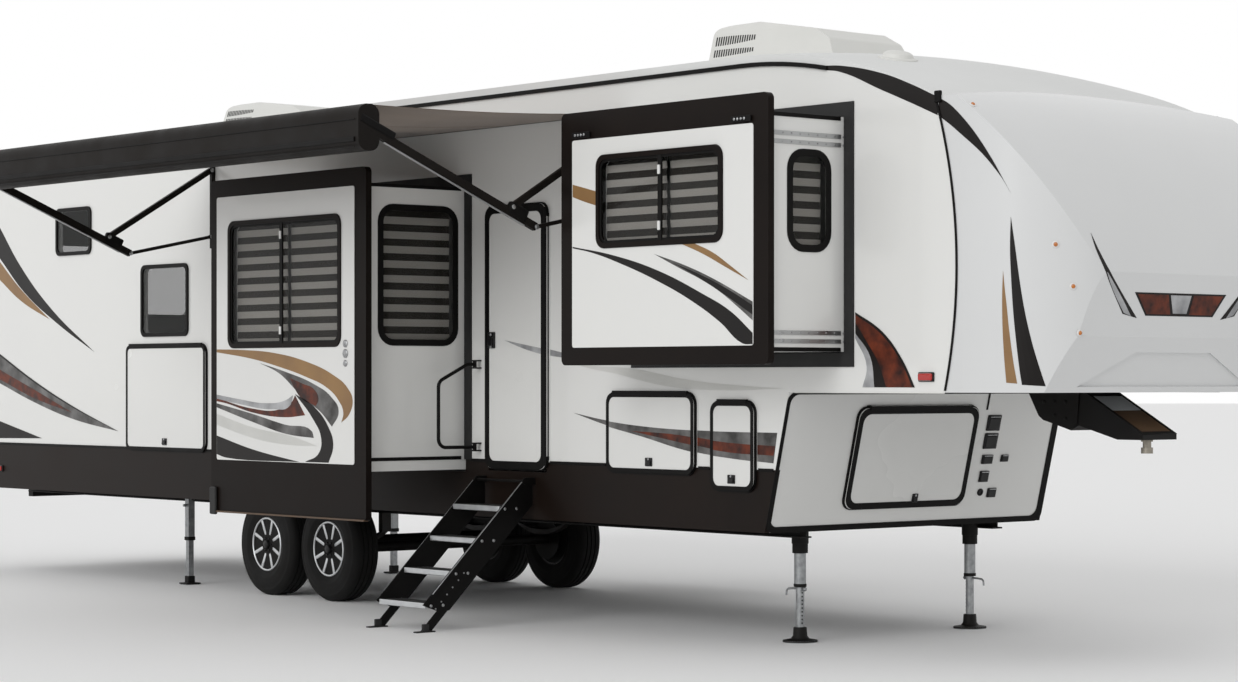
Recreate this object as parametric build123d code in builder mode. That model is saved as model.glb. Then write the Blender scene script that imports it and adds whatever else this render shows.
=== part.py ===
# Fifth wheel travel trailer, parked on its wheels, landing legs and stabilisers.
# Millimetres.  While it is modelled, X runs forward from the front axle, Y to the off side
# (the door side is -Y) and Z up from the ground.  Each finished piece is then moved so that
# the origin lies on the ground under the middle of the whole trailer.
import os
from math import atan2, cos, degrees, radians, sqrt, tan

from build123d import *

os.makedirs("parts", exist_ok=True)

# Body shell
BODY_WIDTH = 2440
WALL = 40
REAR_X = -5300
BELT_Z = 1100
SKIRT_Z = 710
GUTTER_Z = 3610
ROOF_EDGE = 50
ROOF_CROWN = 120
ROOF_BEND_X = 4850
FRONT_DROP = 373
SEAM_TOP_X = 6600
SEAM_MID_X = 6756
SEAM_LOW_X = 6660
SEAM_MID_Z = 2400
FLOOR_TOP_Z = 1030
FLOOR_THICK = 115
DECK_BOTTOM_Z = 1580
DECK_TOP_Z = 1820
DECK_BACK_X = 3450
BULKHEAD_TOP_X = 5300
BULKHEAD_LOW_X = 5080
BULKHEAD_LOW_Z = 730
BULKHEAD_THICK = 30
STEP_WALL = 20

# Front cap
CAP_WALL = 30
CAP_BACK_X = 6000
NOSE_X = 7400
NOSE_Z = 2270
CHIN_X = 7355
CHIN_Z = 1900
CHIN_SLOPE = 0.328
CAP_CORNER = 600
CAP_FLOOR_GAP = 2
RECESS_TOP_Z = 1812
RECESS_LOW_Z = 1612
RECESS_TOP_HALF = 330
RECESS_LOW_HALF = 760
RECESS_DEPTH = 18

# Running gear
TYRE_RADIUS = 391
TYRE_WIDTH = 235
RIM_SEAT = 203
RIM_FLANGE = 217
RIM_WIDTH = 190
TYRE_SKIRT_GAP = 30.5
AXLE_SPACING = 871
AXLE_TUBE = 38
SPINDLE = 28
SPINDLE_CLEAR = 0.3
TYRE_CLEAR = 19.5
BACKING_CLEAR = 29.5
BACKING_THICK = 8
BACKING_RADIUS = 160
SPINDLE_LENGTH = 60
RAIL_WIDTH = 90
RAIL_DEPTH = 250
RAIL_FLANGE = 10
RAIL_WEB = 8
SPRING_HALF = 330
SPRING_WIDTH = 60

# Openings, lids and slides
RING_WIDTH = 25
RING_PROUD = 12
LEAF_CLEAR = 6
LEAF_DEPTH = 38
LIP = 16
LIP_THICK = 4
LIP_GAP = 5
BARREL = 7
LUG_LENGTH = 24
SLIDE_CLEAR = 15
SEAL_WIDTH = 90
SEAL_PROUD = 8
SEAT = 0.3
SLIDE_WALL = 35
PANE_RADIUS = 60
END_RADIUS = 110

# Awning
ARM_REAR_X = -1500
ARM_FRONT_X = 3700
ROLLER_OUT = 1980
ROLLER_Z = 3177
CASE_WIDTH = 150
CASE_HEIGHT = 282
CASE_CORNER = 62
AWNING_TOP_Z = 3390

# Windows
WINDOW_RING = 30
WINDOW_PROUD = 14
GLASS_THICK = 6

# Rear bumper
BUMPER_PROUD = 40
BUMPER_DEPTH = 80
BUMPER_WIDTH = 1700
BUMPER_Z0 = 620
BUMPER_Z1 = 740

# How far the slides reach out from the wall
MID_OUT = 850
BEDROOM_OUT = 620
OFF_SIDE_OUT = 850

# Coupling
KINGPIN_X = 7120
PLATE_Z = 1300

HALF = BODY_WIDTH / 2
TRACK_HALF = HALF - WALL - TYRE_SKIRT_GAP - TYRE_WIDTH / 2
MID_REACH = HALF + MID_OUT
BEDROOM_REACH = HALF + BEDROOM_OUT
OFF_SIDE_REACH = HALF + OFF_SIDE_OUT
ROLLER_Y = HALF + ROLLER_OUT
TYRE_INNER_Y = TRACK_HALF - TYRE_WIDTH / 2
RAIL_Y = TYRE_INNER_Y - TYRE_CLEAR - RAIL_WIDTH / 2
BACKING_Y = TYRE_INNER_Y - BACKING_CLEAR
RAIL_TOP_Z = FLOOR_TOP_Z - FLOOR_THICK
RAIL_LOW_Z = RAIL_TOP_Z - RAIL_DEPTH
SEAM_TOP_Z = GUTTER_Z - FRONT_DROP
BEND_RUN = SEAM_TOP_X - ROOF_BEND_X
BEND_RADIUS = (BEND_RUN ** 2 + FRONT_DROP ** 2) / (2 * FRONT_DROP)
BEND_ANGLE = degrees(atan2(BEND_RUN, BEND_RADIUS - FRONT_DROP))
LID_PROUD = RING_PROUD + LIP_GAP + LIP_THICK / 2
SLOPE_DX = BULKHEAD_TOP_X - BULKHEAD_LOW_X
SLOPE_DZ = DECK_BOTTOM_Z - BULKHEAD_LOW_Z
SLOPE_LENGTH = sqrt(SLOPE_DX ** 2 + SLOPE_DZ ** 2)
BULKHEAD_RUN = BULKHEAD_THICK * SLOPE_LENGTH / SLOPE_DZ
MIDDLE_X = (NOSE_X + REAR_X - BUMPER_PROUD) / 2
MIDDLE_Y = -(ROLLER_Y + CASE_WIDTH / 2 - OFF_SIDE_REACH - WINDOW_PROUD) / 2

# Slides: name, side, x0, x1, z0, z1, reach, fascia x0, x1, z0, z1, window x0, x1, z0, z1,
# end window y0, y1, z0, z1 (as distances out from the centreline)
SLIDES = [
    ("mid_slide", -1, 5, 1885, FLOOR_TOP_Z + SEAT, 2990, MID_REACH,
     (-80, 1950, 696, 3095), (170, 1650, 1880, 2790), (HALF + 70, MID_REACH - 150, 1900, 2840)),
    ("bedroom_slide", -1, 3850, 5800, DECK_TOP_Z + SEAT, 3220, BEDROOM_REACH,
     (3830, 5825, 1744, 3331), (4200, 5420, 2470, 3050), (HALF + 120, BEDROOM_REACH - 180, 2420, 3000)),
    ("off_side_slide", 1, 5, 1885, FLOOR_TOP_Z + SEAT, 2990, OFF_SIDE_REACH,
     (-80, 1950, 696, 3095), (170, 1650, 1880, 2790), None),
]
FASCIA_THICK = 45
FASCIA_CORNER = 40

# Wall windows in the wall: x0, x1, z0, z1 of the frame, corner radius
DOOR_SIDE_WINDOWS = [
    (-4094, -3481, 2700, 3100, 60),
    (-2641, -1891, 2000, 2580, 60),
]
OFF_SIDE_WINDOWS = [
    (-4094, -3481, 2700, 3100, 60),
    (-2641, -1891, 2000, 2580, 60),
    (4200, 5200, 2400, 3000, 60),
]

# Lids in the side walls: name, side, opening x0, x1, z0, z1, corner radius
SIDE_LIDS = [
    ("rear_hatch", -1, -2846, -1622, 1103, 1915, 60),
    ("rear_storage_door", -1, 3533, 4397, 1070, 1553, 60),
    ("front_storage_door", -1, 4595, 4978, 980, 1503, 60),
    ("off_side_storage_door", 1, 3533, 4397, 1070, 1553, 60),
]
ENTRY = (2175, 2838, 1065, 2825)
ENTRY_RADIUS = 50


def bulkhead_x(z):
    """X of the front of the basement at a height."""
    return BULKHEAD_LOW_X + (z - BULKHEAD_LOW_Z) * SLOPE_DX / SLOPE_DZ


def side_plane(side, y):
    """A plane on one side of the trailer: u forward, v up, normal outwards."""
    if side < 0:
        return Plane(origin=(0, -y, 0), x_dir=(1, 0, 0), z_dir=(0, -1, 0))
    return Plane(origin=(0, y, 0), x_dir=(-1, 0, 0), z_dir=(0, 1, 0))


def window_sketch(x0, x1, z0, z1, radius, side, mode):
    """A rounded rectangle on a side plane, in the active sketch."""
    u = (x0 + x1) / 2 * (1 if side < 0 else -1)
    with Locations((u, (z0 + z1) / 2)):
        RectangleRounded(x1 - x0, z1 - z0, radius, mode=mode)


def save(part, name):
    """Moves a finished piece to the trailer's own origin, labels it and writes it."""
    moved = part.moved(Location((-MIDDLE_X, -MIDDLE_Y, 0)))
    moved.label = name
    export_step(moved, f"parts/{name}.step")


# Shell walls
def side_wall(side, windows):
    """One laminated side wall: bowed front seam, falling roof line, and all its openings."""
    with BuildPart() as wall:
        with BuildSketch(Plane.XZ.offset(HALF - WALL)):
            with BuildLine():
                Polyline((SEAM_LOW_X, DECK_BOTTOM_Z), (BULKHEAD_TOP_X, DECK_BOTTOM_Z),
                         (bulkhead_x(BELT_Z), BELT_Z), (REAR_X, BELT_Z), (REAR_X, GUTTER_Z),
                         (ROOF_BEND_X, GUTTER_Z))
                TangentArc((ROOF_BEND_X, GUTTER_Z), (SEAM_TOP_X, SEAM_TOP_Z), tangent=(1, 0))
                ThreePointArc((SEAM_TOP_X, SEAM_TOP_Z), (SEAM_MID_X, SEAM_MID_Z),
                              (SEAM_LOW_X, DECK_BOTTOM_Z))
            make_face()
            for x0, x1, z0, z1, radius in windows:
                window_sketch(x0 + WINDOW_RING, x1 - WINDOW_RING, z0 + WINDOW_RING,
                              z1 - WINDOW_RING, radius - WINDOW_RING / 2, -1, Mode.SUBTRACT)
            for name, lid_side, x0, x1, z0, z1, radius in SIDE_LIDS:
                if lid_side == side:
                    window_sketch(x0, x1, z0, z1, radius, -1, Mode.SUBTRACT)
            for name, slide_side, x0, x1, z0, z1, *rest in SLIDES:
                if slide_side == side:
                    low = z0 - SLIDE_CLEAR
                    with Locations(((x0 + x1) / 2, (low + z1 + SLIDE_CLEAR) / 2)):
                        Rectangle(x1 - x0 + 2 * SLIDE_CLEAR, z1 + SLIDE_CLEAR - low,
                                  mode=Mode.SUBTRACT)
            if side < 0:
                x0, x1, z0, z1 = ENTRY
                window_sketch(x0, x1, z0, z1, ENTRY_RADIUS, -1, Mode.SUBTRACT)
                with Locations(((x0 + x1) / 2, BELT_Z)):
                    Rectangle(x1 - x0, 2 * ENTRY_RADIUS, mode=Mode.SUBTRACT)
        extrude(amount=WALL)
    return wall.part if side < 0 else wall.part.mirror(Plane.XZ)


def skirt(side):
    """The dark lower panel along one side, cut for lids, slides and the doorway."""
    with BuildPart() as panel:
        with BuildSketch(Plane.XZ.offset(HALF - WALL)):
            with BuildLine():
                Polyline((REAR_X, SKIRT_Z), (bulkhead_x(SKIRT_Z), SKIRT_Z),
                         (bulkhead_x(BELT_Z), BELT_Z), (REAR_X, BELT_Z),
                         close=True)
            make_face()
            for name, lid_side, x0, x1, z0, z1, radius in SIDE_LIDS:
                if lid_side == side and z0 < BELT_Z:
                    window_sketch(x0, x1, z0, z1, radius, -1, Mode.SUBTRACT)
            for name, slide_side, x0, x1, z0, z1, *rest in SLIDES:
                if slide_side == side and z0 < BELT_Z:
                    with Locations(((x0 + x1) / 2, z0 - SLIDE_CLEAR)):
                        Rectangle(x1 - x0 + 2 * SLIDE_CLEAR, 2 * (BELT_Z - z0 + SLIDE_CLEAR),
                                  align=(Align.CENTER, Align.MIN), mode=Mode.SUBTRACT)
            if side < 0:
                x0, x1, z0, z1 = ENTRY
                with Locations(((x0 + x1) / 2, FLOOR_TOP_Z)):
                    Rectangle(x1 - x0, BELT_Z, align=(Align.CENTER, Align.MIN),
                              mode=Mode.SUBTRACT)
        extrude(amount=WALL)
    return panel.part if side < 0 else panel.part.mirror(Plane.XZ)


save(side_wall(-1, DOOR_SIDE_WINDOWS), "door_side_wall")
save(side_wall(1, OFF_SIDE_WINDOWS), "off_side_wall")
save(skirt(-1), "door_side_skirt")
save(skirt(1), "off_side_skirt")

REAR_WINDOW = (700, 2250, 2850, 60)
with BuildPart() as rear_wall:
    with BuildSketch(Plane.YZ.offset(REAR_X)):
        with Locations((0, (FLOOR_TOP_Z + GUTTER_Z) / 2)):
            Rectangle(BODY_WIDTH - 2 * WALL, GUTTER_Z - FLOOR_TOP_Z)
        half_width, z0, z1, radius = REAR_WINDOW
        with Locations((0, (z0 + z1) / 2)):
            RectangleRounded(2 * half_width, z1 - z0, radius, mode=Mode.SUBTRACT)
    extrude(amount=WALL)
save(rear_wall.part, "rear_wall")

with BuildPart() as rear_skirt:
    with BuildSketch(Plane.YZ.offset(REAR_X)):
        with Locations((0, (BUMPER_Z1 + FLOOR_TOP_Z) / 2)):
            Rectangle(BODY_WIDTH - 2 * WALL, FLOOR_TOP_Z - BUMPER_Z1)
    extrude(amount=WALL)
save(rear_skirt.part, "rear_skirt")

# Roof: one crowned section swept along the roof line
with BuildPart() as roof:
    with BuildLine(Plane.XZ) as roof_line:
        Line((REAR_X, GUTTER_Z), (ROOF_BEND_X, GUTTER_Z))
        TangentArc((ROOF_BEND_X, GUTTER_Z), (SEAM_TOP_X, SEAM_TOP_Z), tangent=(1, 0))
    with BuildSketch(Plane(origin=(REAR_X, 0, GUTTER_Z), x_dir=(0, 1, 0), z_dir=(1, 0, 0))):
        with BuildLine():
            Polyline((HALF, ROOF_EDGE), (HALF, 0), (-HALF, 0), (-HALF, ROOF_EDGE))
            ThreePointArc((-HALF, ROOF_EDGE), (0, ROOF_CROWN), (HALF, ROOF_EDGE))
        make_face()
    sweep(path=roof_line.line)
    with BuildSketch(Plane.YZ.offset(SEAM_TOP_X)):
        with Locations((0, SEAM_TOP_Z)):
            Rectangle(2 * BODY_WIDTH, GUTTER_Z)
    extrude(amount=NOSE_X - SEAM_TOP_X, mode=Mode.SUBTRACT)
save(roof.part, "roof")


# Front cap: a side profile, a plan and a front profile cut out of one another
def cap_solid(inset, bottom_z):
    """The cap's filled form, its outside moved in by inset."""
    top_z = SEAM_TOP_Z + ROOF_CROWN / cos(radians(BEND_ANGLE)) - inset
    edge_z = SEAM_TOP_Z + ROOF_EDGE / cos(radians(BEND_ANGLE)) - inset
    nose_x = NOSE_X - inset
    chin_x = CHIN_X - inset
    slope = tan(radians(BEND_ANGLE))
    width = HALF - inset
    over = CAP_CORNER
    with BuildPart() as solid:
        with BuildSketch(Plane.XZ):
            with BuildLine():
                Polyline((nose_x, NOSE_Z), (chin_x, CHIN_Z),
                         (chin_x - (CHIN_Z - bottom_z) * CHIN_SLOPE, bottom_z),
                         (CAP_BACK_X, bottom_z), (CAP_BACK_X, top_z + over),
                         (SEAM_TOP_X, top_z + over), (SEAM_TOP_X, top_z))
                TangentArc((SEAM_TOP_X, top_z), (nose_x, NOSE_Z), tangent=(1, -slope))
            make_face()
        extrude(amount=width, both=True)
        with BuildSketch(Plane.XY.offset(bottom_z)):
            with BuildLine():
                Polyline((nose_x - CAP_CORNER, width), (CAP_BACK_X, width),
                         (CAP_BACK_X, -width), (nose_x - CAP_CORNER, -width))
                RadiusArc((nose_x - CAP_CORNER, -width), (nose_x, -width + CAP_CORNER),
                          -CAP_CORNER)
                Line((nose_x, -width + CAP_CORNER), (nose_x, width - CAP_CORNER))
                RadiusArc((nose_x, width - CAP_CORNER), (nose_x - CAP_CORNER, width),
                          -CAP_CORNER)
            make_face()
        extrude(amount=top_z + over - bottom_z, mode=Mode.INTERSECT)
        with BuildSketch(Plane.YZ.offset(CAP_BACK_X)):
            with BuildLine():
                Polyline((width, edge_z), (width, bottom_z), (-width, bottom_z),
                         (-width, edge_z))
                ThreePointArc((-width, edge_z), (0, top_z), (width, edge_z))
            make_face()
        extrude(amount=NOSE_X - CAP_BACK_X, mode=Mode.INTERSECT)
    return solid.part


CHIN_PLANE = Plane(origin=(CHIN_X, 0, CHIN_Z), x_dir=(0, 1, 0), z_dir=(1, 0, -CHIN_SLOPE))


def down_chin(z):
    """Distance along the sloping chin at a height, upwards from its top edge."""
    return (z - CHIN_Z) * sqrt(1 + CHIN_SLOPE ** 2)


with BuildPart() as front_cap:
    add(cap_solid(0, DECK_BOTTOM_Z))
    add(cap_solid(CAP_WALL, DECK_BOTTOM_Z - CAP_WALL), mode=Mode.SUBTRACT)
    with BuildSketch(Plane.XZ):
        with BuildLine():
            Polyline((SEAM_LOW_X, DECK_BOTTOM_Z), (SEAM_LOW_X, SKIRT_Z), (CAP_BACK_X, SKIRT_Z),
                     (CAP_BACK_X, GUTTER_Z + CAP_CORNER), (SEAM_TOP_X, GUTTER_Z + CAP_CORNER),
                     (SEAM_TOP_X, SEAM_TOP_Z))
            ThreePointArc((SEAM_TOP_X, SEAM_TOP_Z), (SEAM_MID_X, SEAM_MID_Z),
                          (SEAM_LOW_X, DECK_BOTTOM_Z))
        make_face()
    extrude(amount=BODY_WIDTH, both=True, mode=Mode.SUBTRACT)
    with BuildSketch(CHIN_PLANE):
        with BuildLine():
            Polyline((-RECESS_TOP_HALF, down_chin(RECESS_TOP_Z)),
                     (RECESS_TOP_HALF, down_chin(RECESS_TOP_Z)),
                     (RECESS_LOW_HALF, down_chin(RECESS_LOW_Z)),
                     (-RECESS_LOW_HALF, down_chin(RECESS_LOW_Z)), close=True)
        make_face()
    extrude(amount=-RECESS_DEPTH, mode=Mode.SUBTRACT)
save(front_cap.part, "front_cap")

# Floors
with BuildPart() as lower_floor:
    with BuildSketch(Plane.XZ):
        with BuildLine():
            Polyline((REAR_X + WALL, RAIL_TOP_Z),
                     (bulkhead_x(RAIL_TOP_Z) - BULKHEAD_RUN, RAIL_TOP_Z),
                     (bulkhead_x(FLOOR_TOP_Z) - BULKHEAD_RUN, FLOOR_TOP_Z),
                     (REAR_X + WALL, FLOOR_TOP_Z), close=True)
        make_face()
    extrude(amount=HALF - WALL, both=True)
save(lower_floor.part, "lower_floor")

with BuildPart() as upper_deck:
    add(cap_solid(CAP_WALL + CAP_FLOOR_GAP, DECK_BOTTOM_Z))
    with BuildSketch(Plane.XY.offset(DECK_BOTTOM_Z)):
        with Locations((CAP_BACK_X, 0)):
            Rectangle(NOSE_X, BODY_WIDTH - 2 * WALL)
    extrude(amount=DECK_TOP_Z - DECK_BOTTOM_Z, mode=Mode.INTERSECT)
    with BuildSketch(Plane.XY.offset(DECK_BOTTOM_Z)):
        with Locations((DECK_BACK_X, 0)):
            Rectangle(CAP_BACK_X + CAP_CORNER / 2 - DECK_BACK_X, BODY_WIDTH - 2 * WALL,
                      align=(Align.MIN, Align.CENTER))
    extrude(amount=DECK_TOP_Z - DECK_BOTTOM_Z)
save(upper_deck.part, "upper_deck")

with BuildPart() as step_bulkhead:
    with BuildSketch(Plane.YZ.offset(DECK_BACK_X)):
        with Locations((0, (FLOOR_TOP_Z + DECK_BOTTOM_Z) / 2)):
            Rectangle(BODY_WIDTH - 2 * WALL, DECK_BOTTOM_Z - FLOOR_TOP_Z)
    extrude(amount=STEP_WALL)
save(step_bulkhead.part, "step_bulkhead")

# Basement front: a sloping panel with its own lid
FRONT_LID = (-595, 425, 860, 1465, 50)
FRONT_PLANE = Plane(origin=(BULKHEAD_LOW_X, 0, BULKHEAD_LOW_Z), x_dir=(0, 1, 0),
                    z_dir=(SLOPE_DZ, 0, -SLOPE_DX))


def up_slope(z):
    """Distance along the sloping basement front at a height."""
    return (z - BULKHEAD_LOW_Z) * SLOPE_LENGTH / SLOPE_DZ


with BuildPart() as basement_front:
    with BuildSketch(Plane.XZ):
        with BuildLine():
            Polyline((bulkhead_x(SKIRT_Z), SKIRT_Z), (BULKHEAD_TOP_X, DECK_BOTTOM_Z),
                     (BULKHEAD_TOP_X - BULKHEAD_RUN, DECK_BOTTOM_Z),
                     (bulkhead_x(SKIRT_Z) - BULKHEAD_RUN, SKIRT_Z), close=True)
        make_face()
    extrude(amount=HALF - WALL, both=True)
    with BuildSketch(FRONT_PLANE):
        y0, y1, z0, z1, radius = FRONT_LID
        with Locations(((y0 + y1) / 2, (up_slope(z0) + up_slope(z1)) / 2)):
            RectangleRounded(y1 - y0, up_slope(z1) - up_slope(z0), radius)
    extrude(amount=4 * BULKHEAD_THICK, both=True, mode=Mode.SUBTRACT)
save(basement_front.part, "basement_front")


# Lids: a ring on the wall with hinge lugs, and a leaf that hangs from a barrel
def lid_ring(plane, u0, u1, v0, v1, radius):
    """The ring round an opening, with the two hinge lugs above it."""
    hinge_v = v1 + LIP + BARREL
    with BuildPart() as ring:
        with BuildSketch(plane):
            with Locations(((u0 + u1) / 2, (v0 + v1) / 2)):
                RectangleRounded(u1 - u0 + 2 * RING_WIDTH, v1 - v0 + 2 * RING_WIDTH,
                                 radius + RING_WIDTH)
                RectangleRounded(u1 - u0, v1 - v0, radius, mode=Mode.SUBTRACT)
        extrude(amount=RING_PROUD)
        for end, turn in ((u0 + radius, 1), (u1 - radius, -1)):
            with BuildSketch(Plane(origin=plane.from_local_coords((end, 0, 0)),
                                   x_dir=plane.z_dir, z_dir=plane.x_dir)):
                with Locations((LID_PROUD, -hinge_v)):
                    Circle(BARREL)
                with Locations((0, -hinge_v)):
                    Rectangle(LID_PROUD, 2 * BARREL, align=(Align.MIN, Align.CENTER))
            extrude(amount=turn * LUG_LENGTH)
    return ring.part


def lid_leaf(plane, u0, u1, v0, v1, radius, depth=LEAF_DEPTH, top_lip=LIP):
    """The leaf: a core in the opening, a lip in front of the ring and the hinge barrel."""
    hinge_v = v1 + LIP + BARREL
    lip_back = RING_PROUD + LIP_GAP
    with BuildPart() as leaf:
        with BuildSketch(plane.offset(lip_back - depth)):
            with Locations(((u0 + u1) / 2, (v0 + v1) / 2)):
                RectangleRounded(u1 - u0 - 2 * LEAF_CLEAR, v1 - v0 - 2 * LEAF_CLEAR,
                                 radius - LEAF_CLEAR)
        extrude(amount=depth)
        with BuildSketch(plane.offset(lip_back)):
            with Locations(((u0 + u1) / 2, (v0 + v1) / 2)):
                RectangleRounded(u1 - u0 + 2 * LIP, v1 - v0 + 2 * LIP, radius + LIP)
            with Locations(((u0 + u1) / 2, hinge_v)):
                Rectangle(u1 - u0 - 2 * radius - 2 * LUG_LENGTH - 2 * SEAT, 2 * LIP,
                          align=(Align.CENTER, Align.MAX))
        extrude(amount=LIP_THICK)
        start = u0 + radius + LUG_LENGTH + SEAT
        with BuildSketch(Plane(origin=plane.from_local_coords((start, 0, 0)),
                               x_dir=plane.z_dir, z_dir=plane.x_dir)):
            with Locations((LID_PROUD, -hinge_v)):
                Circle(BARREL)
        extrude(amount=u1 - radius - LUG_LENGTH - SEAT - start)
    return leaf.part


rings = []
for name, side, x0, x1, z0, z1, radius in SIDE_LIDS:
    u0, u1 = (x0, x1) if side < 0 else (-x1, -x0)
    plane = side_plane(side, HALF)
    rings.append(lid_ring(plane, u0, u1, z0, z1, radius))
    save(lid_leaf(plane, u0, u1, z0, z1, radius), name)
y0, y1, z0, z1, radius = FRONT_LID
rings.append(lid_ring(FRONT_PLANE, y0, y1, up_slope(z0), up_slope(z1), radius))
save(lid_leaf(FRONT_PLANE, y0, y1, up_slope(z0), up_slope(z1), radius,
              BULKHEAD_THICK + RING_PROUD), "front_hatch")

# The entry door swings on its front edge, so its plane is turned: v runs forward, u down
x0, x1, z0, z1 = ENTRY
ENTRY_PLANE = Plane(origin=(0, -HALF, 0), x_dir=(0, 0, -1), z_dir=(0, -1, 0))
rings.append(lid_ring(ENTRY_PLANE, -z1, -z0, x0, x1, ENTRY_RADIUS))
save(lid_leaf(ENTRY_PLANE, -z1, -z0, x0, x1, ENTRY_RADIUS), "entry_door")

with BuildPart() as opening_frames:
    for ring in rings:
        add(ring)
save(opening_frames.part, "opening_frames")

# Windows in the walls: rings and panes
with BuildPart() as window_frames:
    for side, windows in ((-1, DOOR_SIDE_WINDOWS), (1, OFF_SIDE_WINDOWS)):
        with BuildSketch(side_plane(side, HALF)):
            for x0, x1, z0, z1, radius in windows:
                window_sketch(x0, x1, z0, z1, radius, side, Mode.ADD)
                window_sketch(x0 + WINDOW_RING, x1 - WINDOW_RING, z0 + WINDOW_RING,
                              z1 - WINDOW_RING, radius - WINDOW_RING / 2, side, Mode.SUBTRACT)
        extrude(amount=WINDOW_PROUD)
    half_width, z0, z1, radius = REAR_WINDOW
    with BuildSketch(Plane(origin=(REAR_X, 0, (z0 + z1) / 2), x_dir=(0, 1, 0),
                           z_dir=(-1, 0, 0))):
        RectangleRounded(2 * half_width + 2 * WINDOW_RING, z1 - z0 + 2 * WINDOW_RING,
                         radius + WINDOW_RING)
        RectangleRounded(2 * half_width, z1 - z0, radius, mode=Mode.SUBTRACT)
    extrude(amount=WINDOW_PROUD)
save(window_frames.part, "window_frames")

with BuildPart() as window_glass:
    for side, windows in ((-1, DOOR_SIDE_WINDOWS), (1, OFF_SIDE_WINDOWS)):
        with BuildSketch(side_plane(side, HALF)):
            for x0, x1, z0, z1, radius in windows:
                window_sketch(x0 + WINDOW_RING, x1 - WINDOW_RING, z0 + WINDOW_RING,
                              z1 - WINDOW_RING, radius - WINDOW_RING / 2, side, Mode.ADD)
        extrude(amount=-GLASS_THICK)
    half_width, z0, z1, radius = REAR_WINDOW
    with BuildSketch(Plane(origin=(REAR_X, 0, (z0 + z1) / 2), x_dir=(0, 1, 0),
                           z_dir=(-1, 0, 0))):
        RectangleRounded(2 * half_width, z1 - z0, radius)
    extrude(amount=-GLASS_THICK)
save(window_glass.part, "window_glass")


# Slide-out rooms: box, outer fascia, panes, and the seal frame on the wall
def slide_box(side, x0, x1, z0, z1, reach, window, end_window):
    """Floor, roof and three walls, open to the cabin, with the window holes."""
    inner = HALF - WALL
    with BuildPart() as box:
        with BuildSketch(Plane.XY.offset(z0)):
            with Locations(((x0 + x1) / 2, -(inner + reach - FASCIA_THICK) / 2)):
                Rectangle(x1 - x0, reach - FASCIA_THICK - inner)
        extrude(amount=z1 - z0)
        with BuildSketch(Plane.XY.offset(z0 + SLIDE_WALL)):
            with Locations(((x0 + x1) / 2, -inner + SLIDE_WALL)):
                Rectangle(x1 - x0 - 2 * SLIDE_WALL, reach - FASCIA_THICK - inner,
                          align=(Align.CENTER, Align.MAX))
        extrude(amount=z1 - z0 - 2 * SLIDE_WALL, mode=Mode.SUBTRACT)
        with BuildSketch(Plane.XZ.offset(reach - FASCIA_THICK - 2 * SLIDE_WALL)):
            wx0, wx1, wz0, wz1 = window
            window_sketch(wx0 + WINDOW_RING, wx1 - WINDOW_RING, wz0 + WINDOW_RING,
                          wz1 - WINDOW_RING, PANE_RADIUS, -1, Mode.ADD)
        extrude(amount=4 * SLIDE_WALL, mode=Mode.SUBTRACT)
        if end_window:
            wy0, wy1, wz0, wz1 = end_window
            with BuildSketch(Plane.YZ.offset(x1 - 2 * SLIDE_WALL)):
                with Locations((-(wy0 + wy1) / 2, (wz0 + wz1) / 2)):
                    RectangleRounded(wy1 - wy0, wz1 - wz0, END_RADIUS)
            extrude(amount=4 * SLIDE_WALL, mode=Mode.SUBTRACT)
    return box.part


def slide_fascia(fascia, window, reach):
    """The dark outer frame of a slide with its pale inner panel and the window ring."""
    fx0, fx1, fz0, fz1 = fascia
    wx0, wx1, wz0, wz1 = window
    with BuildPart() as face:
        with BuildSketch(Plane.XZ.offset(reach - FASCIA_THICK)):
            with Locations(((fx0 + fx1) / 2, (fz0 + fz1) / 2)):
                RectangleRounded(fx1 - fx0, fz1 - fz0, FASCIA_CORNER)
            window_sketch(wx0 + WINDOW_RING, wx1 - WINDOW_RING, wz0 + WINDOW_RING,
                          wz1 - WINDOW_RING, PANE_RADIUS, -1, Mode.SUBTRACT)
        extrude(amount=FASCIA_THICK)
        with BuildSketch(Plane.XZ.offset(reach)):
            window_sketch(wx0, wx1, wz0, wz1, PANE_RADIUS + WINDOW_RING / 2, -1, Mode.ADD)
            window_sketch(wx0 + WINDOW_RING, wx1 - WINDOW_RING, wz0 + WINDOW_RING,
                          wz1 - WINDOW_RING, PANE_RADIUS, -1, Mode.SUBTRACT)
        extrude(amount=WINDOW_PROUD)
    return face.part


def slide_panes(x1, window, end_window, reach):
    """The panes of a slide's face and end windows."""
    wx0, wx1, wz0, wz1 = window
    with BuildPart() as panes:
        with BuildSketch(Plane.XZ.offset(reach - GLASS_THICK)):
            window_sketch(wx0 + WINDOW_RING, wx1 - WINDOW_RING, wz0 + WINDOW_RING,
                          wz1 - WINDOW_RING, PANE_RADIUS, -1, Mode.ADD)
        extrude(amount=GLASS_THICK)
        if end_window:
            wy0, wy1, wz0, wz1 = end_window
            with BuildSketch(Plane.YZ.offset(x1 - GLASS_THICK)):
                with Locations((-(wy0 + wy1) / 2, (wz0 + wz1) / 2)):
                    RectangleRounded(wy1 - wy0, wz1 - wz0, END_RADIUS)
            extrude(amount=GLASS_THICK)
    return panes.part


def on_side(part, side):
    """A door-side piece, or its mirror image for the off side."""
    return part if side < 0 else part.mirror(Plane.XZ)


for name, side, x0, x1, z0, z1, reach, fascia, window, end_window in SLIDES:
    save(on_side(slide_box(side, x0, x1, z0, z1, reach, window, end_window), side),
         f"{name}_box")
    save(on_side(slide_fascia(fascia, window, reach), side), f"{name}_fascia")
    save(on_side(slide_panes(x1, window, end_window, reach), side), f"{name}_glass")

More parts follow.
